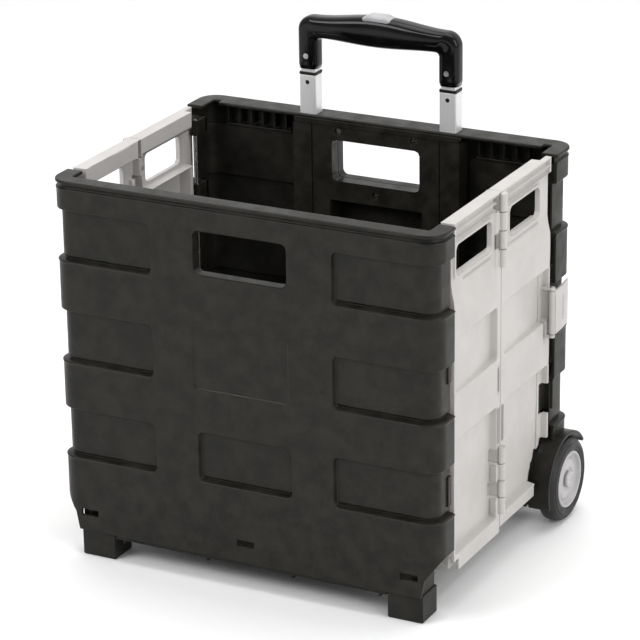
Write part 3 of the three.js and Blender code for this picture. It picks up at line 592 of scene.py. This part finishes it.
def loft(rings, closed=False):
    """Skins rings of points; both ends are capped unless the loft closes on itself."""
    count, around = len(rings), len(rings[0])
    points = [p for ring in rings for p in ring]
    faces = []
    for s in range(count if closed else count - 1):
        a, b = s * around, (s + 1) % count * around
        for i in range(around):
            j = (i + 1) % around
            faces.append((a + i, a + j, b + j, b + i))
    if not closed:
        faces.append(tuple(range(around)))
        faces.append(tuple((count - 1) * around + i for i in range(around)))
    return points, faces, set()


def together(*shapes):
    """Several (points, faces) shapes as one mesh."""
    points, faces = [], []
    for shape_points, shape_faces, _ in shapes:
        faces += [tuple(i + len(points) for i in face) for face in shape_faces]
        points += shape_points
    return points, faces, set()


# %% [markdown]
# With those helpers a rim is short to write: stations along the plan, closer together round
# the corners, and the same rounded section at each. The first and last are a little smaller,
# which rounds the rim's ends.

# %% The rims
RIM_DEEP, REAR_RIM_DEEP, REAR_RIM_UNTIL = 16, 24, 174


def rim(end, to_place, deep, deep_until):
    flat = panel_half - CORNER
    stations = sorted({0.0, *(i * 20.0 for i in range(1, 10)), deep_until, deep_until + 0.6,
                       *(flat + CORNER * math.pi / 2 * i / 8 for i in range(9)), end - 0.7, end})
    rings = []
    for s in sorted({-s for s in stations} | set(stations)):
        depth = deep if abs(s) <= deep_until else RIM_DEEP
        tuck = 0.7 if abs(s) == end else 0.0
        bottom, top_z = crate_top - RIM_THICK + tuck, crate_top - tuck
        section = [(tuck - RIM_OVERHANG, bottom), (tuck - RIM_OVERHANG, top_z),
                   (depth - tuck, top_z), (depth - tuck, bottom)]
        rings.append([to_place(s, z, d) for d, z in rounded_outline(section, 1.5, 3)])
    return loft(rings)


add_piece("front_rim", rim(front_end, front_place, RIM_DEEP, 120), "black_plastic", "front_panel")
add_piece("rear_rim", rim(rear_end, rear_place, REAR_RIM_DEEP, REAR_RIM_UNTIL), "black_plastic", "rear_frame")

# %% [markdown]
# Turned parts, such as a tyre, a wheel or a hub cap, are lathed: a profile of radius and
# distance along the axle is carried round in small steps. A closed profile gives a ring, which
# needs no caps.

# %% Lathe
def lathe_x(profile, y, z, side=1, steps=72, start=0.0, sweep=2 * math.pi):
    """Turns a closed (radius, x) profile about an axis along X."""
    full = sweep > 6.28
    count = steps if full else steps + 1
    rings = []
    for i in range(count):
        angle = start + sweep * i / steps
        rings.append([(side * x, y + r * math.cos(angle), z + r * math.sin(angle)) for r, x in profile])
    return loft(rings, closed=full)


def on_both_sides(name, make, slot, bodies, stands_for=(), edge=0.0):
    """The same piece on the right and, mirrored, on the left."""
    for side, word in ((1, "right"), (-1, "left")):
        body = bodies + word if bodies.endswith("_") else bodies
        add_piece(f"{name}_{word}", make(side), slot, body,
                  [f"{part}_{word}" for part in stands_for], edge)


# %% [markdown]
# The wheels have a solid rubber tyre with a rounded shoulder and two fine moulded rings, and a
# silver-grey plastic wheel pressed into it: a bright outer lip, a dished disc with shallow
# steps, and a hub cap. Tyre and wheel share the same axle, so both are lathed from
# the drawing's radii.

# %% Tyres and wheels
tyre_low, tyre_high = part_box("tyre_right")
WHEEL_IN, WHEEL_OUT = tyre_low.x / MM, tyre_high.x / MM
WHEEL_R = (tyre_high.z - tyre_low.z) / 2 / MM
RIM_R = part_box("wheel_rim_right")[1].z / MM - WHEEL_Z


def tyre(side):
    outline = rounded_outline([
        (RIM_R + 0.3, WHEEL_IN + 1), (WHEEL_R - 7, WHEEL_IN + 0.4), (WHEEL_R - 0.6, WHEEL_IN + 4.5),
        (WHEEL_R, WHEEL_IN + 8), (WHEEL_R, WHEEL_OUT - 8), (WHEEL_R - 0.6, WHEEL_OUT - 4.5),
        (WHEEL_R - 3.4, WHEEL_OUT - 1.4), (WHEEL_R - 5.2, WHEEL_OUT - 1.5), (WHEEL_R - 5.9, WHEEL_OUT - 0.3),
        (WHEEL_R - 8.6, WHEEL_OUT), (WHEEL_R - 9.3, WHEEL_OUT - 0.8), (WHEEL_R - 10.2, WHEEL_OUT - 0.2),
        (RIM_R + 0.3, WHEEL_OUT - 0.6)], 1.1, 3)
    return lathe_x(outline, WHEEL_Y, WHEEL_Z, side, 96)


def wheel_disc(side):
    out = WHEEL_OUT
    outline = rounded_outline([
        (4.4, WHEEL_IN + 3), (RIM_R, WHEEL_IN + 1.6), (RIM_R, out - 1.4), (RIM_R - 1.0, out - 0.5),
        (RIM_R - 2.6, out - 0.9), (RIM_R - 4.0, out - 4.6), (RIM_R - 6.5, out - 5.2),
        (RIM_R - 9.0, out - 3.6),
        (13.5, out - 2.9), (11.6, out - 3.3), (10.4, out - 4.4), (8.6, out - 4.4), (4.4, out - 4.4)], 0.8, 3)
    return lathe_x(outline, WHEEL_Y, WHEEL_Z, side, 96)


def hub_cap(side):
    outline = [(0.0, WHEEL_OUT - 4.3), (8.2, WHEEL_OUT - 4.3), (8.2, WHEEL_OUT - 1.6), (7.8, WHEEL_OUT - 1.0),
               (7.0, WHEEL_OUT - 0.6), (5.4, WHEEL_OUT - 0.3), (4.9, WHEEL_OUT - 0.7), (0.0, WHEEL_OUT - 0.5)]
    return lathe_x(outline, WHEEL_Y, WHEEL_Z, side, 48)


on_both_sides("tyre_tread", tyre, "tyre_black", "wheel_", ["tyre"])
on_both_sides("wheel_disc", wheel_disc, "wheel_grey", "wheel_", ["wheel_rim"])
on_both_sides("hub_cover", hub_cap, "wheel_grey", "wheel_", ["hub_cap"])

# %% [markdown]
# Round each wheel the rear panel has a well and a mudguard, an arc of plastic over the tyre.
# They are part of the same moulding, so they ride with it and take the same finish.

# %% Wheel wells and mudguards
def wheel_well(side):
    plate = [(9.0, 182.0), (54.0, 182.0), (54.0, 186.5), (9.0, 186.5)]
    guard = [(45.3, 185.5), (48.5, 185.5), (48.5, 208.0), (45.3, 208.0)]
    boss = [(4.3, 171.0), (11.0, 171.0), (11.0, 186.3), (4.3, 186.3)]
    arcs = [lathe_x(rounded_outline(profile, 0.8, 2), WHEEL_Y, WHEEL_Z, side,
                    steps, math.radians(start), math.radians(sweep))
            for profile, steps, start, sweep in ((plate, 40, 64, 130), (guard, 48, 36, 164))]
    return together(*arcs, lathe_x(boss, WHEEL_Y, WHEEL_Z, side, 32))


on_both_sides("wheel_well", wheel_well, "black_plastic", "rear_frame")

# %% [markdown]
# Prisms with a softened rim make the small blocks: feet, arms, knuckles, lugs. The outline is
# drawn in one plane and pushed along the third axis; the first and last rings are drawn in a
# little, so the end edges are rounded by real geometry and catch the light.

# %% Soft-edged prisms
def drawn_in(outline, amount):
    """The same closed outline, moved inward by an amount along its corner normals."""
    area = sum(a[0] * b[1] - b[0] * a[1] for a, b in zip(outline, outline[1:] + outline[:1]))
    turn = 1 if area > 0 else -1
    moved = []
    for index, point in enumerate(outline):
        before, after = outline[index - 1], outline[(index + 1) % len(outline)]
        normal = Vector((0.0, 0.0))
        for start, end in ((before, point), (point, after)):
            step = Vector((end[0] - start[0], end[1] - start[1]))
            if step.length > 1e-6:
                normal += Vector((-step.y, step.x)).normalized()
        normal = normal.normalized() if normal.length > 1e-6 else normal
        moved.append((point[0] + turn * normal.x * amount, point[1] + turn * normal.y * amount))
    return moved


def prism(outline, axis, low, high, edge=0.6):
    """An outline pushed along x, y or z; its coordinates are the other two axes in order."""
    low, high = min(low, high), max(low, high)
    edge = min(edge, 0.45 * (high - low))
    levels = [(low, edge), (low + 0.3 * edge, 0.3 * edge), (low + edge, 0.0),
              (high - edge, 0.0), (high - 0.3 * edge, 0.3 * edge), (high, edge)]
    rings = []
    for level, amount in levels:
        ring = drawn_in(outline, amount) if amount else outline
        if axis == "x":
            rings.append([(level, u, v) for u, v in ring])
        elif axis == "y":
            rings.append([(u, level, v) for u, v in ring])
        else:
            rings.append([(u, v, level) for u, v in ring])
    return loft(rings)


def slab(x0, x1, y0, y1, z0, z1, radius=0.8, axis="z"):
    """A block with rounded corners and soft edges."""
    x0, x1, y0, y1 = min(x0, x1), max(x0, x1), min(y0, y1), max(y0, y1)
    if axis == "z":
        outline = [(x0, y0), (x1, y0), (x1, y1), (x0, y1)]
        return prism(rounded_outline(outline, radius), "z", z0, z1, radius)
    if axis == "y":
        outline = [(x0, z0), (x1, z0), (x1, z1), (x0, z1)]
        return prism(rounded_outline(outline, radius), "y", y0, y1, radius)
    outline = [(y0, z0), (y1, z0), (y1, z1), (y0, z1)]
    return prism(rounded_outline(outline, radius), "x", x0, x1, radius)


def circle(u, v, radius, steps=24):
    return [(u + radius * math.cos(2 * math.pi * i / steps), v + radius * math.sin(2 * math.pi * i / steps))
            for i in range(steps)]


# %% [markdown]
# The feet are plain blocks with soft edges and a post behind the panel's corner. The lugs of
# the front panel and the arms of the rear panel carry the corner hinges.

# %% Feet, lugs and arms
HINGE_X, FRONT_HINGE_Y, REAR_HINGE_Y = 184.5, 32, 252
KNUCKLE = 4.4
KNUCKLE_BLOCK = 4
LUG_BANDS = ((110.6, 140), (230.6, 260), (350.6, 368))
ARM_BANDS = ((120, 150), (272, 302), (352, 368))
ARM_FRONT, ARM_BACK = crate_depth - 41, crate_depth - 37


def foot(side):
    low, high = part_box("foot_right")
    inner, outer = low.x / MM, high.x / MM
    front, back = (low.y - face_y) / MM, (high.y - face_y) / MM
    body = slab(side * inner, side * outer, front, back, 0, PANEL_FOOT - 0.3, 1.6)
    post = slab(side * (outer - 11.5), side * (outer - 1.6), front + 1.6, back - 2.5,
                PANEL_FOOT - 2, 50, 0.8)
    return together(body, post)


def front_lugs(side):
    parts = []
    for low, high in LUG_BANDS:
        parts.append(slab(side * HINGE_X, side * (panel_half - 3), 28, 34.6, low, high))
        parts.append(prism(circle(side * HINGE_X, FRONT_HINGE_Y, KNUCKLE), "z", low, high))
    return together(*parts)


def rear_arms(side):
    parts = []
    near = side * (HINGE_X - KNUCKLE_BLOCK)
    for low, high in ARM_BANDS:
        parts.append(slab(near, side * (HINGE_X + KNUCKLE_BLOCK), REAR_HINGE_Y, ARM_BACK, low, high))
        parts.append(slab(near, side * (panel_half - 2), ARM_FRONT, ARM_BACK, low, high))
        parts.append(prism(circle(side * HINGE_X, REAR_HINGE_Y, KNUCKLE), "z", low, high))
    return together(*parts)


on_both_sides("block_foot", foot, "black_plastic", "front_panel", ["foot"])
on_both_sides("front_hinge_lugs", front_lugs, "black_plastic", "front_panel")
on_both_sides("rear_hinge_arms", rear_arms, "black_plastic", "rear_frame")

# %% [markdown]
# The handle. Its grip is one polished moulding shaped like an arch: two legs, two bends and a
# bar that swells in the middle. A section between a box and an oval is swept along the arch,
# with many small steps, so the long soft highlights run true. The tube legs stand inside it.

# %% The grip
TUBE_X, TUBE_Y = 75.5, crate_depth - TUBE_TO_BACK
AROUND_GRIP = 40
BOXINESS = 0.62  # 1 is an oval, and less is squarer
grip_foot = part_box("grip")[0].z / MM


def arch_edge(half_wide, end_top, middle_shift, radius):
    """The right half of an arch's edge, from the foot of the leg to the middle of the bar."""
    centre_x, centre_z = half_wide - radius, end_top - radius
    edge = [(half_wide, grip_foot + (centre_z - grip_foot) * i / 8) for i in range(8)]
    for i in range(17):
        turn = math.pi / 2 * i / 16
        edge.append((centre_x + radius * math.cos(turn), centre_z + radius * math.sin(turn)))
    for i in range(1, 25):
        t = i / 24
        edge.append((centre_x * (1 - t), end_top + middle_shift * math.sin(t * math.pi / 2) ** 2))
    return edge


def grip_shape():
    outer = arch_edge(TUBE_X + 10.8, 477.4, 6.4, 14)
    inner = arch_edge(TUBE_X - 10.6, 456.2, -2.6, 4)
    half_arch = list(zip(outer, inner))
    arch = half_arch + [((-ox, oz), (-ix, iz)) for (ox, oz), (ix, iz) in reversed(half_arch[:-1])]
    rings = []
    for number, ((outer_x, outer_z), (inner_x, inner_z)) in enumerate(arch):
        middle_x, middle_z = (outer_x + inner_x) / 2, (outer_z + inner_z) / 2
        away_x, away_z = (outer_x - inner_x) / 2, (outer_z - inner_z) / 2
        fill = slope(min(number, len(arch) - 1 - number), 8, 40)
        deep = 9 + 3.6 * fill
        tight = 0.94 if number in (0, len(arch) - 1) else 1.0
        ring = []
        for i in range(AROUND_GRIP):
            turn = 2 * math.pi * (i + 0.5) / AROUND_GRIP
            c, s = math.cos(turn), math.sin(turn)
            a = tight * math.copysign(abs(c) ** BOXINESS, c)
            d = tight * deep * math.copysign(abs(s) ** BOXINESS, s)
            ring.append((middle_x + a * away_x, TUBE_Y + d, middle_z + a * away_z))
        rings.append(ring)
    return loft(rings)


add_piece("grip_bar", grip_shape(), "grip_black", "handle_top", ["grip"])

# %% [markdown]
# On top of the grip sits the release button, half sunk in it. It is a rounded bar with sloped
# ends, drawn as a side outline and lofted across with its long edges drawn in.

# %% The release button
BUTTON_HALF, BUTTON_FRONT, BUTTON_BACK = 15, 10.2, 7
BUTTON_SUNK = 5.2  # below the top of the part it stands for


def button_shape():
    top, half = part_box("release_button")[1].z / MM - BUTTON_SUNK, BUTTON_HALF
    side_view = rounded_outline([(-half, top - 9), (half, top - 9), (half, top - 2.6), (9, top - 0.1),
                                 (7, top), (-7, top), (-9, top - 0.1), (-half, top - 2.6)], 1.6, 4)
    return prism(side_view, "y", TUBE_Y - BUTTON_FRONT, TUBE_Y + BUTTON_BACK, 2.6)


add_piece("release_bar", button_shape(), "button_grey", "button", ["release_button"])

# %% [markdown]
# Each handle leg is three rectangular tubes with rounded corners, one inside the other. The
# middle tube carries a lock hole near its top, the inner one disappears into the grip. The
# collar between them is a black ring. A drawn tube has even walls and crisp but soft corners,
# so each is a loft of a rounded rectangle, inside and out.

# %% Handle tubes
def tube(side, part, radius=2.0, thick=1.2):
    low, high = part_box(f"{part}_right")
    half_x, half_y = (high.x - low.x) / 2 / MM, (high.y - low.y) / 2 / MM
    bottom, top_z = low.z / MM, high.z / MM
    outlines = []
    for inset, z in ((0.3, bottom), (0.0, bottom + 0.3), (0.0, top_z - 0.4), (0.4, top_z),
                     (thick, top_z), (thick, bottom)):
        x, y = half_x - inset, half_y - inset
        box = [(-x, -y), (x, -y), (x, y), (-x, y)]
        ring = rounded_outline(box, max(radius - inset, 0.5), 4)
        outlines.append([(side * TUBE_X + u, TUBE_Y + v, z) for u, v in ring])
    return loft(outlines, closed=True)


def lock_hole_shade(side):
    """A dark disc on the front face of the middle tube: painted shade for the inside of the small round lock
    hole at its top, since the tube itself is not cut.
    """
    front = (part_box("mid_tube_right")[0].y - face_y) / MM
    return prism(circle(side * TUBE_X, 411, 2.2, 20), "y", front - 0.06, front + 0.5, 0.1)


on_both_sides("outer_leg", lambda s: tube(s, "outer_tube"), "handle_tube", "rear_frame", ["outer_tube"])
for name, part, radius, thick, finish_slot, body in (
        ("middle_leg", "mid_tube", 1.8, 0.7, "handle_tube", "handle_mid"),
        ("inner_leg", "inner_tube", 1.6, 1.0, "handle_tube", "handle_top"),
        ("leg_collar", "mid_collar", 1.6, 1.1, "black_plastic", "handle_mid")):
    on_both_sides(name, lambda s: tube(s, part, radius, thick), finish_slot, body, [part])
# The lock holes are painted shade: dark discs on the middle tubes, not holes cut in them.
on_both_sides("lock_hole_shade", lock_hole_shade, "black_plastic", "handle_mid")

# %% [markdown]
# The sides are pale grey and fold in the middle, so each side is two halves joined by knuckles.
# A half is a moulded wall too, and the same grid makes it: a row of sunk fields whose floors
# run deeper towards the rear, two grooves under the top edge, a framed hand hole in a shallow
# dish, pockets on the inside, and windows beside the hinge knuckles. The front and rear halves
# differ only in their length, in the direction they run and in what is cut away below.

# %% The relief of a side half
SIDE_X, SIDE_THICK = 196.5, 14
MIDDLE_Y = 142
MIDDLE_HINGE_X = 197.5
FRONT_REACH, REAR_REACH = 102.5, 114.5
HIGH_KNUCKLES = ((307, 324.2), (324.8, 342), (342.6, 360), (360.6, 378))
LOW_KNUCKLES = ((60, 76.6), (77.2, 93.8), (94.4, 111), (111.6, 128))
SIDE_FIELDS = ((217, 269), (56.6, 170))
TOP_GROOVES = ((364.8, 370.2), (371.8, 377))
FRONT_ARM_BANDS = ((80, 110), (200, 230), (320, 350))
POCKETS = ((173, 214), (272, 322))
SIDE_TOP = 379
START = 0.5  # each half starts this far from the middle
ARCH = 57.5
PLATE_LOW, LATCH_HIGH = 203, 247
LATCH_X, LATCH_BARREL, BEARING = SIDE_X + 4.3, 3.2, 3.6


def knuckle_bands(toward):
    """This half's knuckles, and the other half's."""
    every = HIGH_KNUCKLES + LOW_KNUCKLES
    first = [band for i, band in enumerate(every) if i % 2 == 0]
    second = [band for i, band in enumerate(every) if i % 2 == 1]
    return (first, second) if toward < 0 else (second, first)


def side_half(side, toward):
    reach = FRONT_REACH if toward < 0 else REAR_REACH
    hole = (20.5, 97 if toward < 0 else 89, 328, 357)
    lowest = 39.6 if toward < 0 else 44.6
    others = knuckle_bands(toward)[1]
    windows = [(5.4, 11.6, low + 1.6, high - 1.6) for low, high in others]
    latch_slot = [(99.5, 105, 200, 242)] if toward > 0 else [(3.0, 6.8, 184, 208)]
    ribs = [(a, a + 1.6, 132, 168) for a in (2.4, 5.2)]

    def to_place(v, height, depth):
        return side * (SIDE_X - depth), MIDDLE_Y + toward * v, height

    areas = [(8, reach - 3, low, high) for low, high in SIDE_FIELDS] + [hole]
    across_edges, up_edges = edges_of(areas)
    across_extra = {5.0, reach - 10.1, 12.5, 50.0, 92.0, 99.0, 99.5, 100.1, 104.4, 105, 105.6}
    up_extra = {51.0, 53.9, 54.9, 172.4, 173.4, 213.6, 214.6, 271.4, 272.4,
                321.2, 322.6, 323.4, 324.6, 360.9, 362.1}
    for low_u, high_u, low, high in windows + latch_slot + ribs:
        across_extra |= {low_u - 0.3, low_u + 0.4, high_u - 0.4, high_u + 0.3}
        up_extra |= {low - 0.3, low + 0.4, high - 0.4, high + 0.3}
    for low, high in TOP_GROOVES:
        up_extra |= {low - 0.3, low + 0.3, high - 0.3, high + 0.3}
    for low, high in others:
        up_extra |= {low - 0.6, high + 0.6}
    if toward > 0:
        across_extra |= {81.5 + i * 3 for i in range(12)}
        up_extra |= {low - 0.5 for low, _ in ARM_BANDS} | {high + 0.5 for _, high in ARM_BANDS}
    across_lines = grid_lines(START, reach, [e for e in across_edges if START < e[0] < reach], 8,
                              tuple({v for v in across_extra if START < v < reach}))
    up_lines = grid_lines(lowest, SIDE_TOP, [e for e in up_edges if lowest < e[0]], 9,
                          tuple({z for z in up_extra if lowest < z < SIDE_TOP}))

    def front(across, up, bent_across, bent_up):
        depth = np.zeros_like(up)
        rearward = across / reach if toward > 0 else 1 - across / reach
        for low, high in SIDE_FIELDS:
            ring = bend_corners(across, up, (8, reach - 3, low, high), 4, bent_across, bent_up)
            deep = 2.4 + 5.4 * np.clip(rearward, 0, 1) ** 2
            if low < 100:
                deep = deep + (7.8 - deep) * slope(-up, -150, -75)
            depth += deep * slope(ring, -0.5, 1.0)
        ring = bend_corners(across, up, hole, 6, bent_across, bent_up)
        dish = slope(up, 300, 321) * slope(-up, -364.3, -363.3) * slope(across, 11.5, 13.0)
        depth += 3.4 * dish * (1 - 0.75 * slope(ring, -3.4, -2.6))
        along = slope(across, 9, 9.8) * slope(-across, 3.2 - reach, 4 - reach)
        for low, high in TOP_GROOVES:
            depth += 3.2 * along * slope(up, low - 0.3, low + 0.3) * slope(-up, -high - 0.3, 0.3 - high)
        for area in windows + latch_slot + ribs:
            depth = np.maximum(depth, 9.5 * slope(inside_of(across, up, area), -0.3, 0.4))
        return depth

    def back(across, up):
        depth = np.full_like(up, float(SIDE_THICK))
        for low, high in POCKETS:
            depth -= 11 * slope(inside_of(across, up, (12.5, reach - 22, low, high)), -0.6, 0.6)
        depth -= 8.2 * slope(inside_of(across, up, (3, reach - 3, 324, 361.5)), -0.6, 0.6)
        if toward > 0:
            depth = np.where(across > 99.8, 6.0, depth)  # clear of the corner pins
        return np.where(up < 54.4, 3.0, depth)

    def gone(centre_u, centre_v):
        out = (centre_u > hole[0]) & (centre_u < hole[1]) & (centre_v > hole[2]) & (centre_v < hole[3])
        for low, high in others:
            out |= (centre_u < 5.0) & (centre_v > low - 0.6) & (centre_v < high + 0.6)
        if toward < 0:
            return out | ((centre_u > 92) & (centre_v < 51))
        low, high = ARM_BANDS[0]
        out |= (centre_u > 104.4) & (centre_v > low - 0.5) & (centre_v < high + 0.5)
        return out | (np.hypot(MIDDLE_Y + centre_u - WHEEL_Y, centre_v - WHEEL_Z) < ARCH)

    def shift(across, up):
        if toward < 0:
            return across, up
        from_y, from_z = MIDDLE_Y + across - WHEEL_Y, up - WHEEL_Z
        distance = np.hypot(from_y, from_z)
        push = np.where((distance < ARCH) & (distance > ARCH - 9), ARCH / np.maximum(distance, 1), 1.0)
        return WHEEL_Y - MIDDLE_Y + from_y * push, WHEEL_Z + from_z * push

    return grid_wall(across_lines, up_lines, to_place, front, back, gone, shift)


# %% [markdown]
# Four walls come from that one description. Knuckles, hinge straps, arms and the inner ledge
# are small soft-edged prisms. They ride with their half, so they turn with it when it folds.

# %% Side halves with their knuckles
def half_fittings(side, toward):
    parts = []
    for low, high in knuckle_bands(toward)[0]:
        barrel = circle(side * MIDDLE_HINGE_X, MIDDLE_Y, KNUCKLE)
        parts.append(prism(barrel, "z", low, high, 0.5))
        parts.append(slab(side * (SIDE_X - 6), side * (SIDE_X + 0.4), MIDDLE_Y, MIDDLE_Y + toward * 9.5,
                          low + 0.2, high - 0.2, 0.7))
    ledge_end = 91 if toward < 0 else 80
    inner = SIDE_X - SIDE_THICK
    ledge = [(side * (inner - 8.5), 37.3), (side * (inner + 3), 37.3), (side * (inner + 3), 55.5),
             (side * inner, 55.5), (side * inner, 40.3), (side * (inner - 8.5), 40.3)]
    parts.append(prism(rounded_outline(ledge, 0.6, 2), "y", MIDDLE_Y + toward * 1.5,
                       MIDDLE_Y + toward * ledge_end, 0.5))
    if toward < 0:
        for low, high in FRONT_ARM_BANDS:
            parts.append(slab(side * (HINGE_X - KNUCKLE_BLOCK), side * (HINGE_X + KNUCKLE_BLOCK),
                              FRONT_HINGE_Y, FRONT_HINGE_Y + 10, low, high))
            parts.append(prism(circle(side * HINGE_X, FRONT_HINGE_Y, KNUCKLE), "z", low, high))
    else:
        for low, high in ((PLATE_LOW - BEARING, PLATE_LOW - 0.4), (LATCH_HIGH + 0.4, LATCH_HIGH + BEARING)):
            parts.append(slab(side * (SIDE_X - 7), side * LATCH_X, REAR_HINGE_Y - 3,
                              REAR_HINGE_Y + 3, low, high, 0.7))
            parts.append(prism(circle(side * LATCH_X, REAR_HINGE_Y, LATCH_BARREL), "z", low, high, 0.5))
    return together(*parts)


for side, word in ((1, "right"), (-1, "left")):
    for toward, which in ((-1, "front"), (1, "rear")):
        body = f"{which}_side_{word}"
        add_piece(f"{which}_half_{word}", side_half(side, toward), "grey_plastic", body,
                  [f"{which}_side_panel_{word}"], 0.5, True)
        add_piece(f"{which}_half_fittings_{word}", half_fittings(side, toward), "grey_plastic", body)

# %% [markdown]
# The latch is a bowed plate on a barrel. It hooks over the return of the rear panel and keeps
# the crate from folding by itself. The plate is one more small grid, with a shallow slot
# pressed into it, wrapped on the bow's curve.

# %% Latches
LATCH_REACH, LATCH_THICK = 39, 3.0


def latch_plate(side):
    slot = (17.2, 20.4, PLATE_LOW + 9, LATCH_HIGH - 9)

    def to_place(along, height, depth):
        t = along / LATCH_REACH
        bow = LATCH_X + 4 - 3.6 * t ** 3
        return side * max(bow - depth, panel_half + 0.4), REAR_HINGE_Y + along, height

    across_lines = grid_lines(0, LATCH_REACH, [(slot[0], 1), (slot[1], -1)], 2.5)
    up_lines = grid_lines(PLATE_LOW, LATCH_HIGH, [(slot[2], 1), (slot[3], -1)], 5)

    def front(across, up, bent_across, bent_up):
        ring = bend_corners(across, up, slot, 1.5, bent_across, bent_up)
        edge = np.minimum(LATCH_REACH - across, np.minimum(up - PLATE_LOW, LATCH_HIGH - up))
        return 1.5 * slope(ring, -0.3, 0.6) + 0.5 * slope(-edge, -1.6, 0)

    plate = grid_wall(across_lines, up_lines, to_place, front,
                      lambda across, up: np.full_like(up, LATCH_THICK),
                      lambda u, v: np.zeros(u.shape, bool))
    barrel = prism(circle(side * LATCH_X, REAR_HINGE_Y, LATCH_BARREL), "z", PLATE_LOW, LATCH_HIGH, 0.5)
    return together(plate, barrel)


def latch_rod(side):
    return prism(circle(side * LATCH_X, REAR_HINGE_Y, 1.5), "z", PLATE_LOW - 3, LATCH_HIGH + 3, 0.3)


on_both_sides("latch_hook", latch_plate, "grey_plastic", "latch_", ["latch"], 0.4)
on_both_sides("latch_rod", latch_rod, "steel", "rear_side_", ["latch_pin"])

# %% [markdown]
# The rear wall stands in for the whole rear panel, so it also needs what is moulded on its
# inside: lugs that carry the floor's hinge, bosses the cover's screws bite into, a strip that
# closes the gap above the cover, and stiffening ribs under the rim. Each is a small soft block.

# %% Inside of the rear wall
FLOOR_LUGS = ((-156, -148), (-112, -104), (-4, 4), (104, 112), (148, 156))
SCREWS = ((-41, 366), (41, 366), (0, 305), (-58.7, 64), (58.7, 64))
RIM_RIBS = (104, 117, 130, 143, 156, 169)


def rear_inside():
    inner_y, floor_y, floor_z = crate_depth - 2.8, crate_depth - 26, 36.3
    parts = []
    for low, high in FLOOR_LUGS:
        parts.append(slab(low, high, floor_y, inner_y, floor_z - 5, floor_z + 4, 0.6))
        parts.append(prism(circle(floor_y, floor_z, 4), "x", low, high, 0.5))
    for x, z in SCREWS:
        parts.append(prism(circle(x, z, 4.5), "y", 288.7, inner_y, 0.4))
    parts.append(slab(-89, 89, 280.8, 283.2, 370.2, 376.2, 0.5))
    for side in (1, -1):
        for x in RIM_RIBS:
            parts.append(slab(side * x, side * (x + 1.8), inner_y - 9, inner_y, 356, 375.6, 0.5))
        parts.append(slab(side * 100, side * 174, inner_y - 6, inner_y, 352, 354, 0.5))
    return together(*parts)


add_piece("rear_inside", rear_inside(), "black_plastic", "rear_frame")

# %% [markdown]
# The tube cover, the floor and the cover's screws keep the shape the frame gives them. Their
# edges are perfectly sharp, which no moulded part is. A weld and a bevel modifier round them
# without touching a single vertex of the part itself.

# %% Softer edges on the given parts
softened = {"tube_cover": 0.7, "floor_panel": 0.7}
softened.update({f"cover_screw_{number}": 0.35 for number in range(1, len(SCREWS) + 1)})
for name, width in softened.items():
    weld = nodes[name].modifiers.new("Weld", "WELD")
    weld.merge_threshold = 0.00001
    bevel = nodes[name].modifiers.new("Bevel", "BEVEL")
    bevel.width, bevel.segments = width * MM, 2
    bevel.limit_method, bevel.angle_limit = "ANGLE", math.radians(40)
    bevel.harden_normals = True
print("softened", len(softened), "given parts")
